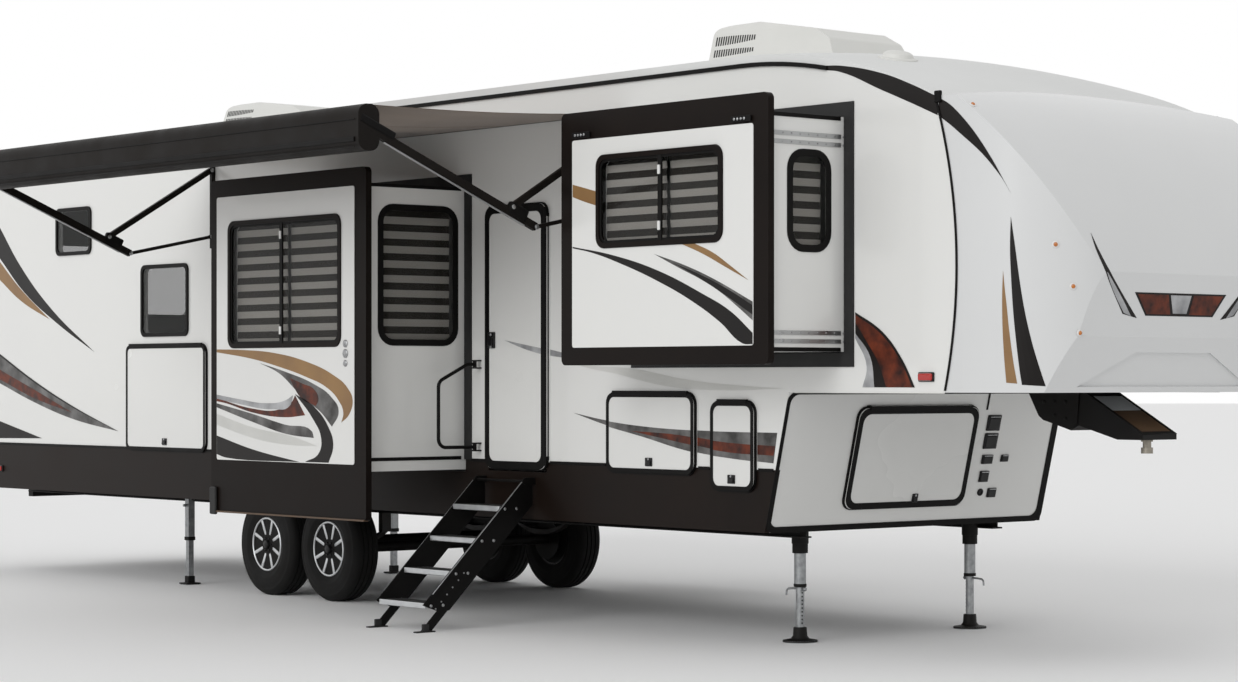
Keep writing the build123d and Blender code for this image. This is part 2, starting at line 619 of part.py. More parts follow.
with BuildPart() as slide_seals:
    for name, side, x0, x1, z0, z1, *rest in SLIDES:
        low = max(z0, BELT_Z)
        with BuildSketch(side_plane(side, HALF)):
            u = (x0 + x1) / 2 * -side
            if z0 > BELT_Z:
                with Locations((u, (z0 + z1) / 2)):
                    Rectangle(x1 - x0 + 2 * SEAL_WIDTH, z1 - z0 + 2 * SEAL_WIDTH)
                    Rectangle(x1 - x0 + 2 * LEAF_CLEAR, z1 - z0 + 2 * LEAF_CLEAR,
                              mode=Mode.SUBTRACT)
            else:
                with Locations((u, low)):
                    Rectangle(x1 - x0 + 2 * SEAL_WIDTH, z1 - low + SEAL_WIDTH,
                              align=(Align.CENTER, Align.MIN))
                    Rectangle(x1 - x0 + 2 * LEAF_CLEAR, z1 - low + LEAF_CLEAR,
                              align=(Align.CENTER, Align.MIN), mode=Mode.SUBTRACT)
        extrude(amount=SEAL_PROUD)
save(slide_seals.part, "slide_seals")

# Chassis: two I-section rails and the cross members between their webs
CROSS_X = [-5150, -4000, -2800, -1700, 700, 1900, 3100, 4300]
CROSS_HEIGHT = 100
CROSS_THICK = 50
RAIL_END_X = bulkhead_x(SKIRT_Z) - BULKHEAD_RUN
for side, name in ((-1, "door_side_rail"), (1, "off_side_rail")):
    with BuildPart() as rail:
        with BuildSketch(Plane.YZ.offset(REAR_X + WALL)):
            with Locations((side * RAIL_Y, (RAIL_TOP_Z + RAIL_LOW_Z) / 2)):
                Rectangle(RAIL_WEB, RAIL_DEPTH)
            with Locations((side * RAIL_Y, RAIL_TOP_Z)):
                Rectangle(RAIL_WIDTH, RAIL_FLANGE, align=(Align.CENTER, Align.MAX))
            with Locations((side * RAIL_Y, RAIL_LOW_Z)):
                Rectangle(RAIL_WIDTH, RAIL_FLANGE, align=(Align.CENTER, Align.MIN))
        extrude(amount=RAIL_END_X - REAR_X - WALL)
    save(rail.part, name)

with BuildPart() as cross_members:
    for x in CROSS_X:
        with BuildSketch(Plane.YZ.offset(x)):
            with Locations((0, (RAIL_TOP_Z + RAIL_LOW_Z) / 2)):
                Rectangle(2 * RAIL_Y - RAIL_WEB, CROSS_HEIGHT)
        extrude(amount=CROSS_THICK)
save(cross_members.part, "cross_members")

with BuildPart() as rear_bumper:
    with BuildSketch(Plane.XY.offset(BUMPER_Z0)):
        with Locations((REAR_X - BUMPER_PROUD, 0)):
            Rectangle(BUMPER_DEPTH, BUMPER_WIDTH, align=(Align.MIN, Align.CENTER))
    extrude(amount=BUMPER_Z1 - BUMPER_Z0)
save(rear_bumper.part, "rear_bumper")

# Axles: tube, spring seats, backing plates and spindles
AXLES = [("front", 0), ("rear", -AXLE_SPACING)]
with BuildPart() as axles:
    for name, x in AXLES:
        with BuildSketch(Plane(origin=(x, -BACKING_Y, TYRE_RADIUS), x_dir=(1, 0, 0),
                               z_dir=(0, 1, 0))):
            Circle(AXLE_TUBE)
        extrude(amount=2 * BACKING_Y)
        for side in (-1, 1):
            out = Plane(origin=(x, side * BACKING_Y, TYRE_RADIUS), x_dir=(1, 0, 0),
                        z_dir=(0, side, 0))
            with BuildSketch(out):
                Circle(BACKING_RADIUS)
            extrude(amount=BACKING_THICK)
            with BuildSketch(out):
                Circle(SPINDLE)
            extrude(amount=TRACK_HALF + SPINDLE_LENGTH - BACKING_Y)
save(axles.part, "axles")

# Leaf springs: three leaves over each axle end, with hangers up to the rails
LEAF = 10
SPRING_TOP = 95
HANGER_WIDTH = 50
HANGER_THICK = 8
with BuildPart() as springs:
    for name, x in AXLES:
        for side in (-1, 1):
            seat_z = TYRE_RADIUS + AXLE_TUBE
            with BuildSketch(Plane.XZ.offset(-side * RAIL_Y)):
                with BuildLine():
                    ThreePointArc((x - SPRING_HALF, seat_z + SPRING_TOP), (x, seat_z),
                                  (x + SPRING_HALF, seat_z + SPRING_TOP))
                    Line((x + SPRING_HALF, seat_z + SPRING_TOP),
                         (x + SPRING_HALF, seat_z + SPRING_TOP + LEAF))
                    ThreePointArc((x + SPRING_HALF, seat_z + SPRING_TOP + LEAF),
                                  (x, seat_z + 4 * LEAF),
                                  (x - SPRING_HALF, seat_z + SPRING_TOP + LEAF))
                    Line((x - SPRING_HALF, seat_z + SPRING_TOP + LEAF),
                         (x - SPRING_HALF, seat_z + SPRING_TOP))
                make_face()
            extrude(amount=SPRING_WIDTH / 2, both=True)
            with BuildSketch(Plane.XZ.offset(-side * RAIL_Y)):
                for end in (-1, 1):
                    with Locations((x + end * SPRING_HALF, seat_z + SPRING_TOP)):
                        Rectangle(HANGER_WIDTH, RAIL_LOW_Z - seat_z - SPRING_TOP,
                                  align=(Align.CENTER, Align.MIN))
            extrude(amount=SPRING_WIDTH / 2 + HANGER_THICK, both=True)
save(springs.part, "leaf_springs")


# Wheels
SPOKES = 8
TYRE_SHOULDER = 28
TYRE_CHAMFER = 10
TYRE_DROP = 14
HUB_BACK = 50
HUB_FACE = 78
HUB_RADIUS = 60
DISH_RADIUS = 80
DISH_DEPTH = 8
RIM_EDGE = 10
RIM_DISH = 14
BARREL_TAPER = 22
POCKET_RADIUS = 138
POCKET = (62, 58)


def wheel_plane(x, side):
    """Wheel plane: local x runs outwards along the axle, local y is the radius."""
    return Plane(origin=(x, side * TRACK_HALF, TYRE_RADIUS), x_dir=(0, side, 0),
                 z_dir=(side, 0, 0))


def tyre(x, side):
    """Tyre as one revolved section."""
    half = TYRE_WIDTH / 2
    tread = half - TYRE_SHOULDER
    with BuildPart() as piece:
        with BuildSketch(wheel_plane(x, side)):
            with BuildLine():
                Line((-RIM_WIDTH / 2, RIM_SEAT), (RIM_WIDTH / 2, RIM_SEAT))
                ThreePointArc((RIM_WIDTH / 2, RIM_SEAT), (half, (RIM_SEAT + TYRE_RADIUS) / 2),
                              (tread + TYRE_CHAMFER, TYRE_RADIUS - TYRE_DROP))
                Polyline((tread + TYRE_CHAMFER, TYRE_RADIUS - TYRE_DROP), (tread - TYRE_CHAMFER, TYRE_RADIUS),
                         (-tread + TYRE_CHAMFER, TYRE_RADIUS), (-tread - TYRE_CHAMFER, TYRE_RADIUS - TYRE_DROP))
                ThreePointArc((-tread - TYRE_CHAMFER, TYRE_RADIUS - TYRE_DROP),
                              (-half, (RIM_SEAT + TYRE_RADIUS) / 2), (-RIM_WIDTH / 2, RIM_SEAT))
            make_face()
        revolve(axis=Axis((x, 0, TYRE_RADIUS), (0, 1, 0)))
    return piece.part


def rim(x, side):
    """Barrel, spoked face with pockets, hub cap and brake drum, one turning piece."""
    with BuildPart() as piece:
        with BuildSketch(wheel_plane(x, side)):
            with BuildLine():
                Polyline((-RIM_WIDTH / 2, RIM_SEAT), (-RIM_WIDTH / 2, RIM_SEAT - RIM_EDGE),
                         (HUB_BACK, RIM_SEAT - BARREL_TAPER),
                         (HUB_BACK, SPINDLE + SPINDLE_CLEAR),
                         (HUB_FACE, SPINDLE + SPINDLE_CLEAR), (HUB_FACE, HUB_RADIUS),
                         (HUB_FACE - DISH_DEPTH, DISH_RADIUS),
                         (RIM_WIDTH / 2 - DISH_DEPTH, RIM_SEAT - RIM_DISH),
                         (RIM_WIDTH / 2, RIM_SEAT - RIM_EDGE), (RIM_WIDTH / 2, RIM_SEAT),
                         close=True)
            make_face()
        revolve(axis=Axis((x, 0, TYRE_RADIUS), (0, 1, 0)))
        face = Plane(origin=(x, side * TRACK_HALF, TYRE_RADIUS), x_dir=(1, 0, 0),
                     z_dir=(0, side, 0))
        with BuildSketch(face):
            with PolarLocations(POCKET_RADIUS, SPOKES):
                Rectangle(*POCKET)
        extrude(amount=RIM_WIDTH, mode=Mode.SUBTRACT)
    return piece.part


for axle, x in AXLES:
    for side, side_name in ((-1, "door_side"), (1, "off_side")):
        save(tyre(x, side), f"tyre_{axle}_{side_name}")
        save(rim(x, side), f"rim_{axle}_{side_name}")

# Landing legs and rear stabilisers; each row is a radius or width, its foot and its top
LEG_X = 4880
LEG_Y = RAIL_Y - 95
LEG_STAGES = [(110, 0, 12), (34, 0, 90), (27, 0, 374), (37.5, 354, RAIL_TOP_Z), (48, 580, 700)]
BRACKET_X = 60
BRACKET_Z = (700, 760)
with BuildPart() as landing_legs:
    for side in (-1, 1):
        for radius, z0, z1 in LEG_STAGES:
            with BuildSketch(Plane.XY.offset(z0)):
                with Locations((LEG_X, side * LEG_Y)):
                    Circle(radius)
            extrude(amount=z1 - z0)
        with BuildSketch(Plane.XY.offset(BRACKET_Z[0])):
            with Locations((LEG_X, side * (LEG_Y + RAIL_Y - RAIL_WEB / 2) / 2)):
                Rectangle(BRACKET_X, RAIL_Y - RAIL_WEB / 2 - LEG_Y)
        extrude(amount=BRACKET_Z[1] - BRACKET_Z[0])
save(landing_legs.part, "landing_legs")

JACK_X = -2300
JACK_Y = RAIL_Y + 127
JACK_STAGES = [(110, 0, 8), (44, 0, 400), (56, 360, 800)]
with BuildPart() as stabilisers:
    for side in (-1, 1):
        for width, z0, z1 in JACK_STAGES:
            with BuildSketch(Plane.XY.offset(z0)):
                with Locations((JACK_X, side * JACK_Y)):
                    Rectangle(width, width)
            extrude(amount=z1 - z0)
        with BuildSketch(Plane.XY.offset(BRACKET_Z[0])):
            with Locations((JACK_X, side * (JACK_Y + RAIL_Y + RAIL_WEB / 2) / 2)):
                Rectangle(BRACKET_X, JACK_Y - RAIL_Y - RAIL_WEB / 2)
        extrude(amount=BRACKET_Z[1] - BRACKET_Z[0])
save(stabilisers.part, "rear_stabilisers")

# Pin box: its underside from the rear to the tip, forward of the kingpin and above the plate
PIN_BOX_HALF = 150
PIN_BOX_UNDER = [(-743, 136), (-705, 110), (-624, 90), (-475, 50), (-410, 80), (-100, 0),
                 (100, 0), (100, 30)]
PIN_BOX_ROOT = (-830, -370)
with BuildPart() as pin_box:
    with BuildSketch(Plane.XZ):
        with BuildLine():
            Polyline((KINGPIN_X + PIN_BOX_ROOT[0], DECK_BOTTOM_Z),
                     *[(KINGPIN_X + x, PLATE_Z + z) for x, z in PIN_BOX_UNDER],
                     (KINGPIN_X + PIN_BOX_ROOT[1], DECK_BOTTOM_Z), close=True)
        make_face()
    extrude(amount=PIN_BOX_HALF, both=True)
save(pin_box.part, "pin_box")

# Kingpin: collar, neck and head turned from one bar: radius, top and bottom below the plate
KINGPIN = [(35.7, 0, 12), (25.4, 12, 47), (35.7, 47, 82)]
with BuildPart() as kingpin:
    for radius, top, bottom in KINGPIN:
        with BuildSketch(Plane.XY.offset(PLATE_Z - bottom)):
            with Locations((KINGPIN_X, 0)):
                Circle(radius)
        extrude(amount=bottom - top)
save(kingpin.part, "kingpin")

# Awning: two fixed arm sets, the case round the roller, and the sheet.  Places are distances
# out from the centreline and heights
BEAM = 35
CHANNEL = 30
ELBOW = (HALF + 730, 2620)
JOINT = (HALF + 910, 2740)
HEAD = (HALF + CHANNEL, 3290)
FOOT = (HALF + CHANNEL, 2770)
CHANNEL_Z0 = 2680
ARM_LINKS = [(ELBOW, (ROLLER_Y, ROLLER_Z), 50), (HEAD, JOINT, 40), (FOOT, ELBOW, 24)]
with BuildPart() as awning_arms:
    for x in (ARM_REAR_X, ARM_FRONT_X):
        with BuildSketch(Plane.YZ.offset(x - BEAM / 2)):
            with Locations((-HALF - CHANNEL / 2, (CHANNEL_Z0 + AWNING_TOP_Z) / 2)):
                Rectangle(CHANNEL, AWNING_TOP_Z - CHANNEL_Z0)
            for (y0, z0), (y1, z1), width in ARM_LINKS:
                length = sqrt((y1 - y0) ** 2 + (z1 - z0) ** 2)
                with Locations(Location((-(y0 + y1) / 2, (z0 + z1) / 2),
                                        degrees(atan2(z1 - z0, -(y1 - y0))))):
                    Rectangle(length, width)
            with Locations((-ROLLER_Y, ROLLER_Z)):
                RectangleRounded(CASE_WIDTH, CASE_HEIGHT, CASE_CORNER)
        extrude(amount=BEAM)
save(awning_arms.part, "awning_arms")

with BuildPart() as awning_roller:
    with BuildSketch(Plane.YZ.offset(ARM_REAR_X + BEAM / 2)):
        with Locations((-ROLLER_Y, ROLLER_Z)):
            RectangleRounded(CASE_WIDTH, CASE_HEIGHT, CASE_CORNER)
    extrude(amount=ARM_FRONT_X - ARM_REAR_X - BEAM)
save(awning_roller.part, "awning_roller")

SHEET = 6
CASE_TOP_Z = ROLLER_Z + CASE_HEIGHT / 2
with BuildPart() as awning_fabric:
    with BuildSketch(Plane.YZ.offset(ARM_REAR_X + BEAM)):
        with BuildLine():
            Polyline((-HALF, AWNING_TOP_Z), (-HALF, AWNING_TOP_Z - SHEET),
                     (-ROLLER_Y, CASE_TOP_Z), (-ROLLER_Y, CASE_TOP_Z + SHEET), close=True)
        make_face()
    extrude(amount=ARM_FRONT_X - ARM_REAR_X - 2 * BEAM)
save(awning_fabric.part, "awning_fabric")

# Air conditioners: a steep rear, a flat top and a long nose, as shares of length and height
CROWN_Z = GUTTER_Z + ROOF_CROWN
UNIT_HALF = 350
UNIT_LEAN = 70
UNIT_EDGE = 50
UNIT_LINE = [(0, 0), (0.01, 0.93), (0.12, 1), (0.31, 1), (0.6, 0.8), (0.83, 0.65), (0.94, 0.42),
             (1, 0)]
UNITS = [("front_air_conditioner", 3470, 4750, 320), ("rear_air_conditioner", -2900, -1620, 230)]
for name, x0, x1, height in UNITS:
    base = CROWN_Z + SEAT
    with BuildPart() as unit:
        with BuildSketch(Plane.XZ):
            with BuildLine():
                FilletPolyline(*[(x0 + along * (x1 - x0), base + up * height)
                                 for along, up in UNIT_LINE], radius=UNIT_EDGE)
                Line((x1, base), (x0, base))
            make_face()
        extrude(amount=UNIT_HALF, both=True)
        with BuildSketch(Plane.YZ.offset(x0)):
            with BuildLine():
                FilletPolyline((-UNIT_HALF, base), (-UNIT_HALF + UNIT_LEAN, base + height),
                               (UNIT_HALF - UNIT_LEAN, base + height), (UNIT_HALF, base),
                               radius=2 * UNIT_EDGE)
                Line((UNIT_HALF, base), (-UNIT_HALF, base))
            make_face()
        extrude(amount=x1 - x0, mode=Mode.INTERSECT)
    save(unit.part, name)

# Rear lamp clusters
LAMP_Z = 1350
LAMP_Y = HALF - 140
LAMP = (110, 320, 30)
LAMP_PROUD = 25
with BuildPart() as tail_lamps:
    with BuildSketch(Plane(origin=(REAR_X, 0, LAMP_Z), x_dir=(0, 1, 0), z_dir=(-1, 0, 0))):
        with Locations((-LAMP_Y, 0), (LAMP_Y, 0)):
            RectangleRounded(*LAMP)
    extrude(amount=LAMP_PROUD)
save(tail_lamps.part, "tail_lamps")

# Entry steps: two side plates with legs, and four treads, hinged outside the sill.  The plate
# lies between two 45 degree lines.  Tread noses are distances out from the wall and heights
STEP_X0 = 2150
STEP_X1 = 2706
STEP_PIVOT = (-HALF - 80, 970)
STEP_PLATE = 8
STEP_HEAD_Z = 992
STEP_HEAD_OUT = 20
STEP_LINE = HALF + 1080
STEP_WIDTH_Z = 250
STEP_END_Z = 135
LEG_LINE = HALF + 885
LEG_HALF = 42
TREAD_DEPTH = 170
TREAD_THICK = 34
TREAD_NOSES = [(282, 806), (470, 598), (678, 390), (876, 188)]
PIVOT_RADIUS = 9
EAR = 8
EAR_RADIUS = 24
with BuildPart() as step_sides:
    for x in (STEP_X0, STEP_X1 - STEP_PLATE):
        with BuildSketch(Plane.YZ.offset(x)):
            with BuildLine():
                Polyline((-HALF - STEP_HEAD_OUT, STEP_HEAD_Z), (STEP_HEAD_Z - STEP_LINE, STEP_HEAD_Z),
                         (STEP_END_Z + LEG_HALF - STEP_LINE, STEP_END_Z + LEG_HALF),
                         (STEP_END_Z - LEG_LINE - LEG_HALF, STEP_END_Z),
                         (-LEG_LINE - LEG_HALF, 0), (-LEG_LINE + LEG_HALF, 0),
                         (STEP_END_Z - LEG_LINE + LEG_HALF, STEP_END_Z),
                         (STEP_END_Z - STEP_LINE + STEP_WIDTH_Z, STEP_END_Z),
                         (-HALF - STEP_HEAD_OUT, STEP_LINE - STEP_WIDTH_Z - HALF - 20), close=True)
            make_face()
        extrude(amount=STEP_PLATE)
    with BuildSketch(Plane.YZ.offset(STEP_X0)):
        with Locations(STEP_PIVOT):
            Circle(PIVOT_RADIUS)
    extrude(amount=STEP_X1 - STEP_X0)
save(step_sides.part, "step_sides")

with BuildPart() as step_treads:
    for out, z in TREAD_NOSES:
        with BuildSketch(Plane.XY.offset(z - TREAD_THICK)):
            with Locations(((STEP_X0 + STEP_X1) / 2, -HALF - out)):
                Rectangle(STEP_X1 - STEP_X0 - 2 * STEP_PLATE, TREAD_DEPTH,
                          align=(Align.CENTER, Align.MIN))
        extrude(amount=TREAD_THICK)
save(step_treads.part, "step_treads")

with BuildPart() as step_brackets:
    for x in (STEP_X0 - SEAT - EAR, STEP_X1 + SEAT):
        with BuildSketch(Plane.YZ.offset(x)):
            with Locations(STEP_PIVOT):
                Circle(EAR_RADIUS)
                Rectangle(-HALF - STEP_PIVOT[0], 2 * EAR_RADIUS, align=(Align.MIN, Align.CENTER))
        extrude(amount=EAR)
save(step_brackets.part, "step_brackets")

# Grab handle: a folding loop on two wall brackets
HANDLE_X = 2070
HANDLE_Y = -HALF - 45
HANDLE_Z0 = 1190
HANDLE_Z1 = 1760
HANDLE_REACH = 300
HANDLE_TUBE = 12
HANDLE_BEND = 60
HANDLE_DROP = 120
KNUCKLE_HALF = 20
KNUCKLE_RADIUS = HANDLE_TUBE + 2
BRACKET_WIDTH = 36
BRACKET_THICK = 10
with BuildPart() as grab_handle:
    with BuildLine(Plane.YZ.offset(HANDLE_X)) as loop:
        FilletPolyline((HANDLE_Y, HANDLE_Z1), (HANDLE_Y - HANDLE_BEND, HANDLE_Z1),
                       (HANDLE_Y - HANDLE_REACH, HANDLE_Z1 - HANDLE_DROP),
                       (HANDLE_Y - HANDLE_REACH, HANDLE_Z0), (HANDLE_Y, HANDLE_Z0),
                       radius=HANDLE_BEND)
    with BuildSketch(Plane(origin=loop.line @ 0, z_dir=loop.line % 0)):
        Circle(HANDLE_TUBE)
    sweep(path=loop.line)
    for z in (HANDLE_Z0, HANDLE_Z1):
        with BuildSketch(Plane.XY.offset(z - KNUCKLE_HALF)):
            with Locations((HANDLE_X, HANDLE_Y)):
                Circle(KNUCKLE_RADIUS)
        extrude(amount=2 * KNUCKLE_HALF)
save(grab_handle.part, "grab_handle")

with BuildPart() as handle_brackets:
    for z in (HANDLE_Z0, HANDLE_Z1):
        for low in (z - KNUCKLE_HALF - SEAT - BRACKET_THICK, z + KNUCKLE_HALF + SEAT):
            with BuildSketch(Plane.XY.offset(low)):
                with Locations((HANDLE_X, -HALF)):
                    Rectangle(BRACKET_WIDTH, -HALF - HANDLE_Y + KNUCKLE_RADIUS,
                              align=(Align.CENTER, Align.MAX))
            extrude(amount=BRACKET_THICK)
save(handle_brackets.part, "handle_brackets")
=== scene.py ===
# %% [markdown]
# # A fifth wheel trailer, dressed
# The model's frame is loaded first and never moved.  Everything made here is fitted to it, in metres.
# The real trailer is laminate panels, aluminium trims and vinyl stripes, so most pieces are thin and flat.

# %% Load the frame
from math import cos, hypot, pi, radians, sin, sqrt

import bpy
from mathutils import Matrix, Vector


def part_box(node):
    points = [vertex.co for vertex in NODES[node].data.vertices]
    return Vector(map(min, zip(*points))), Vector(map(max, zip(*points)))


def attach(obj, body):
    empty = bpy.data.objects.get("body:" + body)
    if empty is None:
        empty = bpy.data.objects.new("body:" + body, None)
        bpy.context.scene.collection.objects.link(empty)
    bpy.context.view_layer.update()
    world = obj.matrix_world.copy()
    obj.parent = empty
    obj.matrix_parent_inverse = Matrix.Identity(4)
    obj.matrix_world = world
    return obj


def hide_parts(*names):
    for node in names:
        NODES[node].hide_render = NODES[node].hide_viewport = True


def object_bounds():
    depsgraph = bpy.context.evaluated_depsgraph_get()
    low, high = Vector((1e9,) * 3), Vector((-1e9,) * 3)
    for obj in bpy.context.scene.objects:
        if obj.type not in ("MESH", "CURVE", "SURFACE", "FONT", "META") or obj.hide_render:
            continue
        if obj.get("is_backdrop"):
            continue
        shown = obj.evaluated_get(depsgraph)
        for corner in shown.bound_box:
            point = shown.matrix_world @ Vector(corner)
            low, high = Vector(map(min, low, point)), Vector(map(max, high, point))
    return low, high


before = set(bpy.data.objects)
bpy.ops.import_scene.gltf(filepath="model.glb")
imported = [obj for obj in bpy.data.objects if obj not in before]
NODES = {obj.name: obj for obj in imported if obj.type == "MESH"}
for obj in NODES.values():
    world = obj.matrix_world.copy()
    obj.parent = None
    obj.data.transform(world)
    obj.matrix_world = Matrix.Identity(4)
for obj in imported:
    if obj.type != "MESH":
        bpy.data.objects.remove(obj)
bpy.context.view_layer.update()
print("frame", len(NODES), "nodes")

# %% [markdown]
# ## Places on the trailer
# Drawings of a trailer measure forward from the front axle and outwards from the centreline, so the sizes
# below do too.  Two boxes of the frame give where that point lies.

# %% Places
tyre_low, tyre_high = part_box("tyre_front_door_side")
floor_low, floor_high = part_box("lower_floor")
wall_low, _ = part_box("door_side_wall")
AXLE_X = (tyre_low[0] + tyre_high[0]) / 2
MIDDLE_Y = (floor_low[1] + floor_high[1]) / 2
HALF = MIDDLE_Y - wall_low[1]
HUB_Z = (tyre_low[2] + tyre_high[2]) / 2
WHEELBASE = 0.871
SIDES = (("door_side", -1), ("off_side", 1))


def at(x, y, z):
    """A place given from the front axle and the centreline, in the frame's coordinates."""
    return Vector((AXLE_X + x, MIDDLE_Y + y, z))


print("front axle at", round(AXLE_X, 3), "half width", round(HALF, 3))

# %% [markdown]
# ## Camera
# The photograph was taken at eye height with a long lens, well forward of the door side.  The two sets of level
# edges gave the direction and the lens, and the shift keeps the uprights upright.

# %% Camera
PHOTO_WIDTH, PHOTO_HEIGHT = 1238, 682
FOCAL_PIXELS = 2897.6
CENTRE_PIXEL = (850.6, 379.55)
SENSOR = 36
CAMERA_PLACE, CAMERA_YAW = (18.555, -12.880, 1.655), 47.44
bpy.ops.object.camera_add(location=at(*CAMERA_PLACE), rotation=(radians(90), 0, radians(CAMERA_YAW)))
camera = bpy.context.object
camera.data.sensor_width = SENSOR
camera.data.lens = FOCAL_PIXELS / PHOTO_WIDTH * SENSOR
camera.data.shift_x = (PHOTO_WIDTH / 2 - CENTRE_PIXEL[0]) / PHOTO_WIDTH
camera.data.shift_y = (CENTRE_PIXEL[1] - PHOTO_HEIGHT / 2) / PHOTO_WIDTH
camera.data.clip_end = 200
bpy.context.scene.camera = camera
print("camera lens", round(camera.data.lens, 1))

# %% [markdown]
# ## Colours and shader nodes
# Colours are read off as sRGB hex and have to be made linear for the shader.  One function adds any node.

# %% Colour and node helpers
def linear(text):
    """An sRGB hex colour as linear RGBA."""
    parts = [int(text[i:i + 2], 16) / 255 for i in (1, 3, 5)]
    return [c / 12.92 if c <= 0.04045 else ((c + 0.055) / 1.055) ** 2.4 for c in parts] + [1.0]


def add(tree, kind, inputs, **settings):
    """Adds a shader node; an input is a value or another node's socket."""
    new = tree.nodes.new(kind)
    for key, value in settings.items():
        setattr(new, key, value)
    for key, value in inputs.items():
        if isinstance(value, bpy.types.NodeSocket):
            tree.links.new(value, new.inputs[key])
        else:
            new.inputs[key].default_value = value
    return new


def finish(name, colours, roughness, pattern_mm, bump_mm=0.0, spread=0.5, specular=0.5, coat=0.0, **shader):
    """A finish whose colour and roughness drift over a real distance, with a fine surface relief."""
    material = bpy.data.materials.new(name)
    material.use_nodes = True
    tree = material.node_tree
    tree.nodes.clear()
    place = add(tree, "ShaderNodeTexCoord", {}).outputs["Object"]
    drift = add(tree, "ShaderNodeTexNoise", {"Vector": place, "Scale": 1000 / pattern_mm[0], "Detail": 4.0})
    amount = add(tree, "ShaderNodeMapRange", {"Value": drift.outputs["Fac"], "From Min": 0.5 - spread / 2,
                                              "From Max": 0.5 + spread / 2})
    colour = add(tree, "ShaderNodeMix", {"Factor": amount.outputs["Result"], "A": linear(colours[0]),
                                         "B": linear(colours[1])}, data_type="RGBA")
    rough = add(tree, "ShaderNodeMapRange", {"Value": drift.outputs["Fac"], "From Min": 0.3, "From Max": 0.7,
                                             "To Min": roughness[0], "To Max": roughness[1]})
    out = add(tree, "ShaderNodeOutputMaterial", {})
    principled = add(tree, "ShaderNodeBsdfPrincipled", {
        "Base Color": colour.outputs["Result"], "Roughness": rough.outputs["Result"],
        "Specular IOR Level": specular, "Coat Weight": coat, **shader})
    if bump_mm:
        grain = add(tree, "ShaderNodeTexNoise", {"Vector": place, "Scale": 1000 / pattern_mm[1], "Detail": 2.0})
        relief = add(tree, "ShaderNodeBump", {"Height": grain.outputs["Fac"], "Distance": bump_mm / 1000,
                                              "Strength": 0.6})
        tree.links.new(relief.outputs["Normal"], principled.inputs["Normal"])
    tree.links.new(principled.outputs["BSDF"], out.inputs["Surface"])
    return material


print("helpers ready")

# %% [markdown]
# ## Body finishes
# The walls are gel-coated glass-fibre laminate: nearly white, smooth, with a slight ripple and a soft gloss.  The
# lower skirts are painted a glossy brown-black, and window and door frames are black powder coat.

# %% Body finishes
WALL = finish("gelcoat_laminate", ("#E0E0DE", "#E4E4E1"), (0.24, 0.28), (1800, 12), 0.05, coat=0.25)
CAP = finish("moulded_gelcoat", ("#D3D4D4", "#D8D9D9"), (0.20, 0.25), (1500, 30), 0.06, coat=0.4)
SKIRT = finish("gloss_brown_black_paint", ("#16100D", "#1F1713"), (0.3, 0.42), (700, 6), 0.08, specular=0.1)
FRAME_BLACK = finish("black_powder_coat", ("#0C0B0B", "#141312"), (0.4, 0.55), (300, 1.5), 0.05, specular=0.1)
FASCIA = finish("brown_black_moulding", ("#120D0B", "#1A1411"), (0.35, 0.48), (500, 4), 0.06, specular=0.08)
ROOFING = finish("rubber_roof_sheet", ("#DADBDA", "#E4E5E4"), (0.6, 0.8), (900, 8), 0.4)
SEAL = finish("extruded_rubber_seal", ("#0B0B0B", "#151515"), (0.55, 0.7), (200, 3), 0.1)
BOARD = finish("underbelly_sheet", ("#131313", "#1B1A19"), (0.5, 0.7), (600, 20), 0.6)
TRIM_METAL = finish("mill_aluminium_trim", ("#A8A9AA", "#BEBFC0"), (0.25, 0.4), (200, 2), 0.04, Metallic=1.0)

# %% [markdown]
# ## Steel, rubber and moulded parts
# The chassis is dipped black paint with dust on it, the legs are zinc plated with a cloudy spangle, and the
# tyres are rubber that scatters light evenly.

# %% Steel, rubber and plastics
CHASSIS = finish("black_chassis_paint", ("#0B0A0A", "#141210"), (0.5, 0.7), (350, 4), 0.15, specular=0.2)
ZINC = finish("zinc_plated_steel", ("#7C7E80", "#A9ABAC"), (0.3, 0.5), (40, 3), 0.06, Metallic=0.9)
TYRE = finish("tyre_rubber", ("#0E0E0E", "#171615"), (0.75, 0.9), (150, 2), 0.15, specular=0.25)
RIM_PAINT = finish("gloss_black_wheel_paint", ("#0D0D0E", "#151516"), (0.25, 0.35), (100, 2), 0.03, specular=0.25)
MACHINED = finish("machined_aluminium", ("#C6C8CA", "#D6D8D9"), (0.34, 0.42), (60, 4), 0.006, Metallic=0.85)
SHROUD = finish("moulded_abs_shroud", ("#D6D6D2", "#DEDEDA"), (0.4, 0.55), (400, 2), 0.08)
BRONZE_TRIM = finish("bronze_trim_paint", ("#4A3624", "#5C4630"), (0.4, 0.5), (120, 3), 0.05)
PIN_PLATE = finish("pale_powder_coat", ("#B4B8BA", "#C4C8CA"), (0.4, 0.55), (150, 3), 0.08)
GREASED = finish("turned_greased_steel", ("#7E7970", "#A09A8F"), (0.3, 0.5), (30, 2), 0.05, Metallic=1.0)
TREAD_METAL = finish("ribbed_aluminium", ("#9FA0A1", "#B8B9BA"), (0.34, 0.45), (80, 4), 0.012, Metallic=0.8)
CANOPY_METAL = finish("dark_bronze_powder_coat", ("#120F0D", "#1A1613"), (0.45, 0.6), (200, 2), 0.06, specular=0.12)
SPRING_STEEL = finish("sprayed_spring_steel", ("#141312", "#2A2522"), (0.5, 0.7), (80, 3), 0.2)
RED_LENS = finish("red_acrylic_lens", ("#A3130D", "#B81C12"), (0.12, 0.2), (20, 3), 0.1, coat=0.5)
AMBER_LENS = finish("amber_acrylic_lens", ("#B4631C", "#C77A2B"), (0.12, 0.2), (20, 3), 0.1, coat=0.5)
